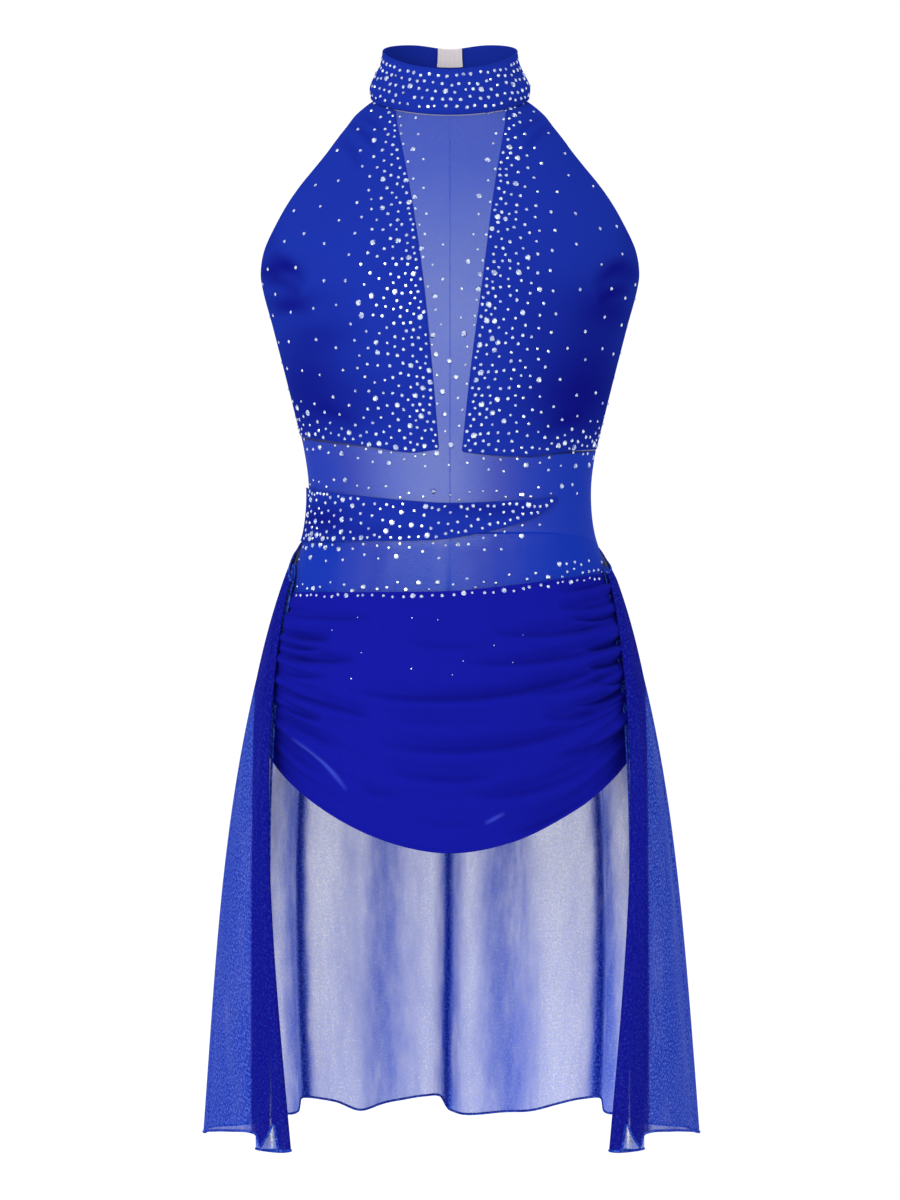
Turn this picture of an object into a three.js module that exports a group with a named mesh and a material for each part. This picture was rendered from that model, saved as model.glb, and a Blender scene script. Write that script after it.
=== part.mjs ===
// Rhythmic gymnastics dress: a halter top with a stand collar, a sheer V inset and waist,
// a sash, a ruched front drape and a floating chiffon skirt, filled out on a general figure.
// Millimetres, +Z up, front towards -Y. The origin is the middle of the neck opening.
import * as THREE from 'three';

// Wall of each cloth, the clearance at a seam, and the clearance under cloth that lies on cloth
const KNIT = 1.2;
const SHEER = 1.0;
const SEAM = 0.3;
const LAP = 0.6;

// Girths of the garment from neck to hip: half width at the side seam, depth before and behind
const GIRTHS = [
  { z: 20, side: 60, front: 52, back: 50 },
  { z: 12, side: 62, front: 53, back: 52 },
  { z: -2, side: 67, front: 55, back: 58 },
  { z: -23, side: 90, front: 58, back: 68 },
  { z: -45, side: 112, front: 70, back: 78 },
  { z: -87, side: 142, front: 91, back: 92 },
  { z: -128, side: 157, front: 109, back: 98 },
  { z: -154, side: 158, front: 117, back: 98 },
  { z: -196, side: 147.5, front: 122, back: 95 },
  { z: -229, side: 139, front: 118, back: 92 },
  { z: -263, side: 130.5, front: 109, back: 87 },
  { z: -297, side: 122.5, front: 100, back: 82 },
  { z: -330, side: 118.5, front: 92, back: 78 },
  { z: -364, side: 121, front: 96, back: 84 },
  { z: -397, side: 131, front: 103, back: 92 },
  { z: -424, side: 138, front: 108, back: 98 },
  { z: -465, side: 148, front: 114, back: 105 },
  { z: -510, side: 154, front: 118, back: 109 },
  { z: -630, side: 154, front: 113, back: 109 },
];

// Collar: a tilted band, its foot and its rim given at front, side and back. The panels under it
// keep a small gap, and draw in to its foot over their last stretch, up to near its widest place.
const COLLAR_CLEAR = 0.45;
const NECK_DRAW = 10;
const NECK_CORNER = 0.985;
const COLLAR_FOOT = { front: -23, side: -2, back: 12 };
const COLLAR_RIM = { front: 15.5, side: 38, back: 50.5, dip: 4, dipAngle: 22 };
const COLLAR_RINGS = [
  { down: 0, side: 56, front: 50, back: 47 },
  { down: 0.3, side: 58.5, front: 52, back: 48.5 },
  { down: 0.75, side: 66.8, front: 57.5, back: 52 },
  { down: 1, side: 65, front: 57, back: 51.5 },
];
const COLLAR_GAP = 1;
const TAB = { half: 9, top: 0.3, bottom: 0.75 };
const LABEL = { half: 8.8, top: 0.02, bottom: 0.42, thickness: 1 };

// Edge of the armhole as an angle from the front centre, and of the back as one from the back centre
const ARMHOLE = [
  { z: 12, front: 84, back: 80 },
  { z: -2, front: 75, back: 71 },
  { z: -28, front: 63, back: 59 },
  { z: -45, front: 60, back: 56 },
  { z: -62, front: 61, back: 57 },
  { z: -78, front: 64, back: 60 },
  { z: -95, front: 67.5, back: 64.5 },
  { z: -112, front: 71.5, back: 69 },
  { z: -128, front: 77, back: 75.5 },
  { z: -145, front: 82.5, back: 82 },
  { z: -158, front: 90, back: 90 },
];
const SIDE_SEAM = 90;

// V inset: its two seams, from the collar down to the waist
const V_SEAM = [
  { z: -16, left: -46.7, right: 47.9 },
  { z: -90, left: -32.5, right: 36 },
  { z: -164, left: -21.8, right: 26.6 },
  { z: -232, left: -15, right: 17.5 },
  { z: -305, left: -8.9, right: 9.7 },
];

// Lower edge of the halter fronts, and the sash's two edges, by angle round the body
const HALTER_HEM = [
  { angle: -90, z: -283.5 },
  { angle: -51, z: -291.7 },
  { angle: -31, z: -297.5 },
  { angle: -14.7, z: -302.3 },
  { angle: -4, z: -300 },
  { angle: 4.7, z: -302 },
  { angle: 19, z: -304.7 },
  { angle: 34.4, z: -304 },
  { angle: 54, z: -299.5 },
  { angle: 90, z: -295 },
];
const SASH = [
  { angle: -89.5, top: -328.4, bottom: -373 },
  { angle: -56, top: -333.8, bottom: -374 },
  { angle: -33, top: -338.9, bottom: -374.1 },
  { angle: -7, top: -343.7, bottom: -373.6 },
  { angle: 5.5, top: -344, bottom: -370.4 },
  { angle: 21, top: -342.6, bottom: -363.3 },
  { angle: 36, top: -340.5, bottom: -353.6 },
  { angle: 47.5, top: -338.5, bottom: -341 },
];
const MESH_FOOT = -424;

// Brief: half width of front and back along the leg cut, over the hip and then under the body.
// A row as wide as WHOLE reaches its side seams.
const WHOLE = 200;
const HIP_LINE = -500;
const CROTCH_DROP = 107;
const BRIEF_ROWS = [
  { z: -424.3, under: 0, front: WHOLE, back: WHOLE },
  { z: -440, under: 0, front: WHOLE, back: WHOLE },
  { z: -455, under: 0, front: 146, back: WHOLE },
  { z: -475, under: 0, front: 128, back: 146 },
  { z: HIP_LINE, under: 0, front: 104, back: 137 },
  { z: HIP_LINE, under: 15, front: 82, back: 126 },
  { z: HIP_LINE, under: 30, front: 62, back: 106 },
  { z: HIP_LINE, under: 45, front: 49, back: 86 },
  { z: HIP_LINE, under: 60, front: 41, back: 66 },
  { z: HIP_LINE, under: 75, front: 37, back: 47 },
  { z: HIP_LINE, under: 90, front: 35, back: 37 },
];

// Ruched drape: side edges and puffs down its height, top edge, and the U of its hem
const DRAPE_SIDES = [
  { down: 0, left: -128, right: 124 },
  { down: 0.3, left: -138, right: 139 },
  { down: 0.6, left: -146, right: 149 },
  { down: 1, left: -148, right: 149 },
];
const DRAPE_TOP = [
  { x: -130, z: -417.5 },
  { x: 0, z: -416.7 },
  { x: 36, z: -413.5 },
  { x: 70, z: -409.5 },
  { x: 127, z: -402 },
];
const DRAPE_HEM = { side: -547, sag: 79, half: 150, square: 1.8, round: 0.9 };
const DRAPE_PUFF = [
  { down: 0, out: 0 },
  { down: 0.12, out: 5 },
  { down: 0.4, out: 8 },
  { down: 0.8, out: 8 },
  { down: 1, out: 5 },
];
const DRAPE_CREASES = [
  { fromX: -142, fromZ: -444, midZ: -446, toX: -81, toZ: -448, depth: 4, width: 7 },
  { fromX: -146, fromZ: -470, midZ: -474, toX: -69, toZ: -478, depth: 5, width: 7 },
  { fromX: -150, fromZ: -491, midZ: -505, toX: -60, toZ: -516, depth: 5, width: 8 },
  { fromX: -70, fromZ: -496, midZ: -490, toX: 146, toZ: -463, depth: 5, width: 8 },
  { fromX: 0, fromZ: -450, midZ: -447, toX: 134, toZ: -447, depth: 4, width: 6 },
  { fromX: 10, fromZ: -473, midZ: -467, toX: 140, toZ: -453, depth: 3, width: 6 },
  { fromX: 0, fromZ: -513, midZ: -502, toX: 150, toZ: -484, depth: 5, width: 8 },
  { fromX: -74, fromZ: -528, midZ: -535, toX: 4, toZ: -541, depth: 4, width: 8 },
  { fromX: -39, fromZ: -558, midZ: -557, toX: 103, toZ: -540, depth: 5, width: 8 },
  { fromX: -84, fromZ: -560, midZ: -564, toX: -46, toZ: -567, depth: 3, width: 7 },
  { fromX: -52, fromZ: -601, midZ: -608, toX: 122, toZ: -572, depth: 4, width: 8 },
];

// Skirt: plan of one half from the free front edge round to the centre back. Each station
// hangs from an angle on the hip, standing off it, and reaches the hem at x (outwards) and y.
const SKIRT_PLAN = [
  { angle: 73, off: 2.2, x: 140, y: -97, roll: 1 },
  { angle: 76, off: 2.2, x: 150, y: -96, roll: 1 },
  { angle: 78.5, off: 3.2, x: 158, y: -99, roll: 1 },
  { angle: 76, off: 4.4, x: 146, y: -105, roll: 1 },
  { angle: 73.5, off: 4.5, x: 132, y: -110, roll: 1 },
  { angle: 71.3, off: 5.4, x: 124, y: -115.5, roll: 1 },
  { angle: 73.5, off: 6.8, x: 135, y: -118, roll: 1 },
  { angle: 77, off: 6.8, x: 154, y: -110, roll: 0.9 },
  { angle: 83, off: 4.5, x: 180, y: -82, roll: 0.5 },
  { angle: 90, off: 2.3, x: 201, y: -36, roll: 0 },
  { angle: 103, off: 2.2, x: 206, y: 12, roll: 0 },
  { angle: 118, off: 2.2, x: 196, y: 62, roll: 0 },
  { angle: 133, off: 2.2, x: 168, y: 104, roll: 0 },
  { angle: 150, off: 2.2, x: 125, y: 131, roll: 0 },
  { angle: 168, off: 2.2, x: 48, y: 145, roll: 0 },
  { angle: 180, off: 2.2, x: 0, y: 148, roll: 0 },
];
const SKIRT_SEAM_Z = [
  { angle: -180, z: -364 },
  { angle: -115, z: -366 },
  { angle: -84, z: -384 },
  { angle: -66, z: -412 },
  { angle: 66, z: -401 },
  { angle: 84, z: -392 },
  { angle: 115, z: -369 },
  { angle: 180, z: -364 },
];
const SKIRT_HEM_Z = -867;
const SKIRT_ROLL_OUT = 20;
const SKIRT_FLARE = { early: 0.6, power: 3.6 };
// Back folds: place round the hem from the centre back, how much further round they start above
const SKIRT_FOLDS = [
  { angle: -100, lean: 0, depth: 5, width: 8 },
  { angle: -74, lean: -4, depth: 7, width: 6 },
  { angle: -41.5, lean: -12, depth: 16, width: 3.4 },
  { angle: -23, lean: -3, depth: 7, width: 5 },
  { angle: -0.8, lean: 0, depth: 17, width: 3.6 },
  { angle: 19.5, lean: 3, depth: 8, width: 5 },
  { angle: 41.5, lean: 12, depth: 16, width: 3.4 },
  { angle: 72, lean: 4, depth: 6, width: 6 },
  { angle: 98, lean: 0, depth: 6, width: 8 },
];
const FOLD_GROWTH = { start: 0.1, power: 0.7, settle: 12 };
const FOLD_FADE = 40;
const SKIRT_SIDE_SPLIT = 86;
// Beyond this place of the plan the skirt lies outside its front roll
const OUTSIDE_ROLL = 0.62;

// Cells across and down each grid
const GRIDS = {
  collar: [36, 4],
  patch: [4, 3],
  halter: [9, 18],
  sash: [18, 2],
  back: [9, 22],
  brief: [12, 10],
  drape: [26, 28],
};
const MESH_CELLS = { side: 10, inset: 4, insetRows: 12, waistRows: 7 };
const SKIRT_CELLS = { step: 8.2, rows: 9 };
const DRAPE_EVEN = 0.5;
const HEM_SAMPLES = 1500;
const HALVINGS = 40;

// Colour and roughness of each cloth
const KNIT_CLOTH = { color: 0x1932a9, roughness: 0.6 };
const MESH_CLOTH = { color: 0x5f72c9, roughness: 0.7 };
const CHIFFON_CLOTH = { color: 0x3f50b8, roughness: 0.8 };
const RUCHED_CLOTH = { color: 0x171f97, roughness: 0.75 };
const LABEL_CLOTH = { color: 0xd9d1ce, roughness: 0.8 };

const { degToRad, radToDeg, clamp, lerp, smoothstep } = THREE.MathUtils;

// Value of one column of a table at a place, on a smooth curve through its rows
function along(table, key, place, column) {
  const rising = table[table.length - 1][key] > table[0][key];
  const rows = rising ? table : [...table].reverse();
  const at = clamp(place, rows[0][key], rows[rows.length - 1][key]);
  let i = 0;
  while (i < rows.length - 2 && at > rows[i + 1][key]) i += 1;
  const slope = (low, high) => (rows[high][column] - rows[low][column]) / (rows[high][key] - rows[low][key]);
  const span = rows[i + 1][key] - rows[i][key];
  const start = slope(Math.max(i - 1, 0), i + 1) * span;
  const end = slope(i, Math.min(i + 2, rows.length - 1)) * span;
  const t = (at - rows[i][key]) / span;
  const bend = t * t * (3 - 2 * t);
  const level = lerp(rows[i][column], rows[i + 1][column], bend);
  return level + start * t * (1 - t) * (1 - t) - end * t * t * (1 - t);
}

// A point of the garment's girths, at an angle from the front centre (positive towards +X)
function girthPoint(angle, z) {
  const turn = degToRad(angle);
  const depth = along(GIRTHS, 'z', z, Math.cos(turn) >= 0 ? 'front' : 'back');
  return new THREE.Vector3(along(GIRTHS, 'z', z, 'side') * Math.sin(turn), -depth * Math.cos(turn), z);
}

// Height of a tilted edge that is given at front, side and back
function tilted(edge, angle) {
  const turn = degToRad(angle);
  const middle = (edge.front + edge.back) / 2;
  const tilt = (edge.back - edge.front) / 2;
  return middle - tilt * Math.cos(turn) + (edge.side - middle) * Math.sin(turn) ** 2;
}

function collarFoot(angle) {
  return tilted(COLLAR_FOOT, angle);
}

// The rim dips a little at the centre back, where the two ends of the band meet
function collarRim(angle) {
  const fromBack = 180 - Math.abs(angle > 180 ? angle - 360 : angle);
  return tilted(COLLAR_RIM, angle) - COLLAR_RIM.dip * Math.exp(-((fromBack / COLLAR_RIM.dipAngle) ** 2));
}

function collarPoint(angle, down) {
  const turn = degToRad(angle);
  const depth = along(COLLAR_RINGS, 'down', down, Math.cos(turn) >= 0 ? 'front' : 'back');
  const side = along(COLLAR_RINGS, 'down', down, 'side');
  const z = lerp(collarRim(angle), collarFoot(angle) + SEAM, down);
  return new THREE.Vector3(side * Math.sin(turn), -depth * Math.cos(turn), z);
}

// A closed wall on a grid of points, columns running with the angle and rows running down.
// The grid is moved out by lift, and cells that holds() turns away are left out.
function wall(grid, thickness, lift = 0, holds = () => true) {
  const columns = grid.length;
  const rows = grid[0].length;
  const index = (i, j) => i * rows + j;
  const quads = [];
  for (let i = 0; i < columns - 1; i += 1) {
    for (let j = 0; j < rows - 1; j += 1) {
      if (holds(i, j)) quads.push([index(i, j), index(i, j + 1), index(i + 1, j + 1), index(i + 1, j)]);
    }
  }
  const points = grid.flat();
  const normals = points.map(() => new THREE.Vector3());
  for (const [a, b, c, d] of quads) {
    const across = points[c].clone().sub(points[a]);
    const down = points[d].clone().sub(points[b]);
    const facing = across.cross(down).normalize();
    for (const corner of [a, b, c, d]) normals[corner].add(facing);
  }
  const count = points.length;
  const positions = new Float32Array(count * 6);
  points.forEach((point, k) => {
    const normal = normals[k].normalize();
    point.clone().addScaledVector(normal, lift + thickness / 2).toArray(positions, k * 3);
    point.clone().addScaledVector(normal, lift - thickness / 2).toArray(positions, (count + k) * 3);
  });
  const triangles = [];
  const edges = new Map();
  for (const quad of quads) {
    const [a, b, c, d] = quad;
    triangles.push(a, b, c, a, c, d);
    triangles.push(count + a, count + c, count + b, count + a, count + d, count + c);
    quad.forEach((from, side) => edges.set(`${from},${quad[(side + 1) % 4]}`, [from, quad[(side + 1) % 4]]));
  }
  for (const [from, to] of edges.values()) {
    if (edges.has(`${to},${from}`)) continue;
    triangles.push(to, from, count + from, to, count + from, count + to);
  }
  const geometry = new THREE.BufferGeometry();
  geometry.setAttribute('position', new THREE.BufferAttribute(positions, 3));
  geometry.setIndex(triangles);
  return geometry;
}

function sampled(columns, rows, pointAt) {
  return Array.from({ length: columns + 1 }, (_, i) => (
    Array.from({ length: rows + 1 }, (__, j) => pointAt(i / columns, j / rows, i, j))));
}

// A girth point that draws in to the collar's foot over its last millimetres, keeping its x
function seatedPoint(angle, z) {
  const point = girthPoint(angle, z);
  const near = smoothstep(z - collarFoot(angle), -NECK_DRAW, -COLLAR_CLEAR);
  if (near === 0) return point;
  const foot = COLLAR_RINGS[COLLAR_RINGS.length - 1];
  const turn = radToDeg(Math.asin(clamp(Math.abs(point.x) / foot.side, 0, NECK_CORNER)));
  const seat = collarPoint(Math.sign(point.x) * (point.y < 0 ? turn : 180 - turn), 1);
  seat.z -= SEAM + COLLAR_CLEAR;
  return point.lerp(seat, near);
}

// The angle and height of a panel's edge, part of the way down from its top to its bottom
function edgeAt(edge, top, bottom, down) {
  let angle = edge((top(0) + bottom(0)) / 2);
  for (let pass = 0; pass < 6; pass += 1) {
    angle = edge(lerp(top(angle), bottom(angle), down));
  }
  return angle;
}

// A panel on the girths between two edges (angles by height) and a top and bottom (heights by angle)
function panelGrid(cells, { left, right, top, bottom }) {
  return sampled(...cells, (across, down) => {
    const from = edgeAt(left, top, bottom, down);
    const to = edgeAt(right, top, bottom, down);
    const angle = lerp(from, to, across);
    return seatedPoint(angle, lerp(top(angle), bottom(angle), down));
  });
}

// An angle moved along the girth by a length
function shifted(angle, length, z) {
  const turn = degToRad(angle);
  const across = along(GIRTHS, 'z', z, 'side') * Math.cos(turn);
  const through = along(GIRTHS, 'z', z, Math.cos(turn) >= 0 ? 'front' : 'back') * Math.sin(turn);
  return angle + radToDeg(length / Math.hypot(across, through));
}

// Edge of the front or back at the armhole, which ends at the side seam
function armholeAngle(z, column) {
  return Math.min(along(ARMHOLE, 'z', z, column), SIDE_SEAM);
}

function angleOfX(x, z) {
  return radToDeg(Math.asin(clamp(x / along(GIRTHS, 'z', z, 'side'), -1, 1)));
}

const topUnderCollar = (angle) => collarFoot(angle) - COLLAR_CLEAR;
const halterHem = (angle) => along(HALTER_HEM, 'angle', angle, 'z');

function makeCollar() {
  const open = radToDeg(COLLAR_GAP / 2 / COLLAR_RINGS[0].back);
  const grid = sampled(...GRIDS.collar, (across, down) => (
    collarPoint(lerp(-180 + open, 180 - open, across), down)));
  return wall(grid, KNIT);
}

// A small patch on the collar about the centre back
function collarPatch(patch, thickness, lift) {
  const reach = radToDeg(patch.half / COLLAR_RINGS[0].back);
  const grid = sampled(...GRIDS.patch, (across, down) => (
    collarPoint(180 + lerp(-reach, reach, across), lerp(patch.top, patch.bottom, down))));
  return wall(grid, thickness, lift);
}

function makeHalter(side) {
  const seam = side < 0 ? 'left' : 'right';
  const inner = (z) => angleOfX(along(V_SEAM, 'z', z, seam) + side * SEAM / 2, z);
  const outer = (z) => shifted(side * armholeAngle(z, 'front'), -side * SEAM, z);
  const grid = panelGrid(GRIDS.halter, {
    left: side < 0 ? outer : inner,
    right: side < 0 ? inner : outer,
    top: topUnderCollar,
    bottom: (angle) => halterHem(angle) + SEAM / 2,
  });
  return wall(grid, KNIT);
}

// V inset and waist in one: the middle columns reach the collar, the others stop at the halter
function makeFrontMesh() {
  const { side: sideColumns, inset: insetColumns, insetRows, waistRows } = MESH_CELLS;
  const columns = 2 * sideColumns + insetColumns;
  const seamFoot = V_SEAM[V_SEAM.length - 1];
  const insetEdge = (z, seam, inset) => angleOfX(along(V_SEAM, 'z', z, seam) + inset, z);
  const waistTop = (angle) => halterHem(angle) - SEAM / 2;
  const innerLeft = insetEdge(seamFoot.z, 'left', SEAM / 2);
  const innerRight = insetEdge(seamFoot.z, 'right', -SEAM / 2);
  const outside = shifted(SIDE_SEAM, -SEAM, seamFoot.z);
  const waistAngle = (i) => {
    if (i <= sideColumns) return lerp(-outside, innerLeft, i / sideColumns);
    if (i >= sideColumns + insetColumns) {
      return lerp(innerRight, outside, (i - sideColumns - insetColumns) / sideColumns);
    }
    return lerp(innerLeft, innerRight, (i - sideColumns) / insetColumns);
  };
  const grid = sampled(columns, insetRows + waistRows, (_, __, i, j) => {
    if (j >= insetRows) {
      const angle = waistAngle(i);
      return girthPoint(angle, lerp(waistTop(angle), MESH_FOOT + SEAM / 2, (j - insetRows) / waistRows));
    }
    const across = clamp((i - sideColumns) / insetColumns, 0, 1);
    const down = j / insetRows;
    const from = edgeAt((z) => insetEdge(z, 'left', SEAM / 2), topUnderCollar, waistTop, down);
    const to = edgeAt((z) => insetEdge(z, 'right', -SEAM / 2), topUnderCollar, waistTop, down);
    const angle = lerp(from, to, across);
    return seatedPoint(angle, lerp(topUnderCollar(angle), waistTop(angle), down));
  });
  const holds = (i, j) => j >= insetRows || (i >= sideColumns && i < sideColumns + insetColumns);
  return wall(grid, SHEER, 0, holds);
}

function makeSash() {
  const first = SASH[0].angle;
  const last = SASH[SASH.length - 1].angle;
  const grid = sampled(...GRIDS.sash, (across, down) => {
    const angle = lerp(first, last, across);
    const top = along(SASH, 'angle', angle, 'top');
    return girthPoint(angle, lerp(top, along(SASH, 'angle', angle, 'bottom'), down));
  });
  return wall(grid, KNIT, SHEER / 2 + LAP + KNIT / 2);
}

function makeBack(side) {
  const armhole = (z) => shifted(side * (180 - armholeAngle(z, 'back')), side * SEAM, z);
  const centre = (z) => side * (180 - radToDeg(SEAM / 2 / along(GIRTHS, 'z', z, 'side')));
  const grid = panelGrid(GRIDS.back, {
    left: side < 0 ? centre : armhole,
    right: side < 0 ? armhole : centre,
    top: topUnderCollar,
    bottom: () => MESH_FOOT + SEAM / 2,
  });
  return wall(grid, SHEER);
}

// The brief follows the hips and then closes under the body, front and back meeting at the crotch
function makeBrief(facing) {
  const column = facing < 0 ? 'front' : 'back';
  const grid = sampled(...GRIDS.brief, (across, _, __, j) => {
    const row = BRIEF_ROWS[j];
    const side = along(GIRTHS, 'z', row.z, 'side');
    const depth = Math.max(along(GIRTHS, 'z', row.z, column) * Math.cos(degToRad(row.under)), SEAM / 2);
    const z = row.z - CROTCH_DROP * Math.sin(degToRad(row.under));
    const reach = Math.asin(Math.min((side - SEAM) / side, row[column] / side));
    const turn = lerp(-reach, reach, across) * -facing;
    return new THREE.Vector3(side * Math.sin(turn), facing * depth * Math.cos(turn), z);
  });
  return wall(grid, KNIT);
}

// Depth of the drape's hand-placed creases: soft troughs along curved lines, fading at both ends
function creaseDepth(x, z) {
  return DRAPE_CREASES.reduce((sum, crease) => {
    const t = (x - crease.fromX) / (crease.toX - crease.fromX);
    if (t < 0 || t > 1) return sum;
    const bow = crease.midZ - (crease.fromZ + crease.toZ) / 2;
    const line = lerp(crease.fromZ, crease.toZ, t) + 4 * bow * t * (1 - t);
    const fade = Math.sin(Math.PI * t) ** 0.5;
    return sum + crease.depth * fade * Math.exp(-(((z - line) / crease.width) ** 2));
  }, 0);
}

function drapeHem(x) {
  const across = clamp(Math.abs(x) / DRAPE_HEM.half, 0, 1);
  return DRAPE_HEM.side - DRAPE_HEM.sag * (1 - across ** DRAPE_HEM.square) ** DRAPE_HEM.round;
}

function makeDrape() {
  const seat = SHEER / 2 + LAP + SHEER / 2;
  const grid = sampled(...GRIDS.drape, (across, down) => {
    const left = along(DRAPE_SIDES, 'down', down, 'left');
    const right = along(DRAPE_SIDES, 'down', down, 'right');
    const eased = (1 - Math.cos(Math.PI * across)) / 2;
    const x = lerp(left, right, lerp(eased, across, DRAPE_EVEN));
    const z = lerp(along(DRAPE_TOP, 'x', x, 'z'), drapeHem(x), down);
    const puff = along(DRAPE_PUFF, 'down', down, 'out');
    const side = along(GIRTHS, 'z', z, 'side');
    const depth = along(GIRTHS, 'z', z, 'front') + seat + puff - Math.min(creaseDepth(x, z), puff);
    return new THREE.Vector3(x, -depth * Math.sqrt(1 - (x / (side + seat + puff)) ** 2), z);
  });
  return wall(grid, SHEER);
}

// Plan of the skirt at a place from 0 (left free edge) through 1 (centre back) to 2 (right free edge)
function skirtStation(place) {
  const side = place < 1 ? -1 : 1;
  const steps = SKIRT_PLAN.length - 1;
  const plan = SKIRT_PLAN.map((row, step) => ({ ...row, step: step / steps }));
  const step = side < 0 ? place : 2 - place;
  const value = (column) => along(plan, 'step', step, column);
  const angle = side * value('angle');
  return { angle, off: value('off'), x: side * value('x'), y: value('y'), roll: value('roll') };
}

// A point of the skirt: it flares quickly below the seam, then hangs, and its folds grow downwards
function skirtPoint(place, down) {
  const station = skirtStation(place);
  const seamZ = along(SKIRT_SEAM_Z, 'angle', station.angle, 'z');
  const top = girthPoint(station.angle, seamZ);
  const outwards = new THREE.Vector2(top.x, top.y).normalize();
  const flare = SKIRT_FLARE.early * (1 - (1 - down) ** SKIRT_FLARE.power) + (1 - SKIRT_FLARE.early) * down;
  const rollOut = station.roll * SKIRT_ROLL_OUT * Math.sin(Math.PI * down ** 0.75) * Math.sign(station.x);
  const x = lerp(top.x + outwards.x * station.off, station.x, flare) + rollOut;
  const y = lerp(top.y + outwards.y * station.off, station.y, flare);
  const around = radToDeg(Math.atan2(x, y));
  const inBack = clamp(1 + y / FOLD_FADE, 0, 1) * (station.roll > 0 ? 0 : 1);
  const ripple = SKIRT_FOLDS.reduce((sum, fold) => {
    const away = around - fold.angle - fold.lean * (1 - down);
    return sum + fold.depth * Math.exp(-((away / fold.width) ** 2));
  }, 0);
  const growth = lerp(FOLD_GROWTH.start, 1, down ** FOLD_GROWTH.power);
  const grown = inBack * ripple * growth * clamp(down * FOLD_GROWTH.settle, 0, 1);
  const radius = Math.hypot(x, y);
  return new THREE.Vector3(x * (1 + grown / radius), y * (1 + grown / radius), lerp(seamZ, SKIRT_HEM_Z, down));
}

// Places along the skirt's plan that lie evenly along its hem between two places
function skirtPlaces(from, to, step) {
  const fine = HEM_SAMPLES;
  const places = Array.from({ length: fine + 1 }, (_, i) => lerp(from, to, i / fine));
  const lengths = [0];
  let last = skirtPoint(places[0], 1);
  for (const place of places.slice(1)) {
    const point = skirtPoint(place, 1);
    lengths.push(lengths[lengths.length - 1] + point.distanceTo(last));
    last = point;
  }
  const total = lengths[fine];
  const count = Math.round(total / step);
  const chosen = [];
  let i = 0;
  for (let k = 0; k <= count; k += 1) {
    const wanted = SEAM / 2 + (total - SEAM) * k / count;
    while (i < fine - 1 && lengths[i + 1] < wanted) i += 1;
    chosen.push(lerp(places[i], places[i + 1], (wanted - lengths[i]) / (lengths[i + 1] - lengths[i])));
  }
  return chosen;
}

// Where the skirt's plan passes an angle round the hem, counted from the centre back
function skirtPlaceAt(around, from, to) {
  let low = from;
  let high = to;
  for (let pass = 0; pass < HALVINGS; pass += 1) {
    const middle = (low + high) / 2;
    const point = skirtPoint(middle, 1);
    if (radToDeg(Math.atan2(point.x, point.y)) < around) low = middle;
    else high = middle;
  }
  return low;
}

function makeSkirt(from, to) {
  const places = skirtPlaces(from, to, SKIRT_CELLS.step);
  const grid = sampled(places.length - 1, SKIRT_CELLS.rows, (_, down, i) => skirtPoint(places[i], down));
  return wall(grid, SHEER);
}

function piece(name, geometry, cloth) {
  const mesh = new THREE.Mesh(geometry, new THREE.MeshStandardMaterial({ ...cloth, metalness: 0 }));
  mesh.name = name;
  return mesh;
}

const labelLift = -(KNIT + LABEL.thickness) / 2 - LAP;
const leftSplit = skirtPlaceAt(-SKIRT_SIDE_SPLIT, OUTSIDE_ROLL, 1);
const rightSplit = skirtPlaceAt(SKIRT_SIDE_SPLIT, 1, 2 - OUTSIDE_ROLL);

const dress = new THREE.Group();
dress.add(
  piece('collar', makeCollar(), KNIT_CLOTH),
  piece('collar_tab', collarPatch(TAB, KNIT, KNIT + LAP), KNIT_CLOTH),
  piece('neck_label', collarPatch(LABEL, LABEL.thickness, labelLift), LABEL_CLOTH),
  piece('front_left', makeHalter(-1), KNIT_CLOTH),
  piece('front_right', makeHalter(1), KNIT_CLOTH),
  piece('front_mesh', makeFrontMesh(), MESH_CLOTH),
  piece('sash', makeSash(), KNIT_CLOTH),
  piece('back_left', makeBack(-1), MESH_CLOTH),
  piece('back_right', makeBack(1), MESH_CLOTH),
  piece('brief_front', makeBrief(-1), KNIT_CLOTH),
  piece('brief_back', makeBrief(1), KNIT_CLOTH),
  piece('front_drape', makeDrape(), RUCHED_CLOTH),
  piece('skirt_left', makeSkirt(0, leftSplit), CHIFFON_CLOTH),
  piece('skirt_back', makeSkirt(leftSplit, rightSplit), CHIFFON_CLOTH),
  piece('skirt_right', makeSkirt(rightSplit, 2), CHIFFON_CLOTH),
);

export default dress;
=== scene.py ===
# %% [markdown]
# # A rhythmic gymnastics dress, made as surfaces
#
# The real dress is cut from three cloths: a royal blue stretch knit, a sheer power mesh and a
# crepe chiffon. It is shown filled out as worn, with nobody in it. Every panel below is a surface
# of two parameters, worked out with numpy on the same girths as the solid model, and put into a
# Blender mesh. The sizes in the tables are millimetres, and meshes are made in metres.

# %% The fixed frame
import math

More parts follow.
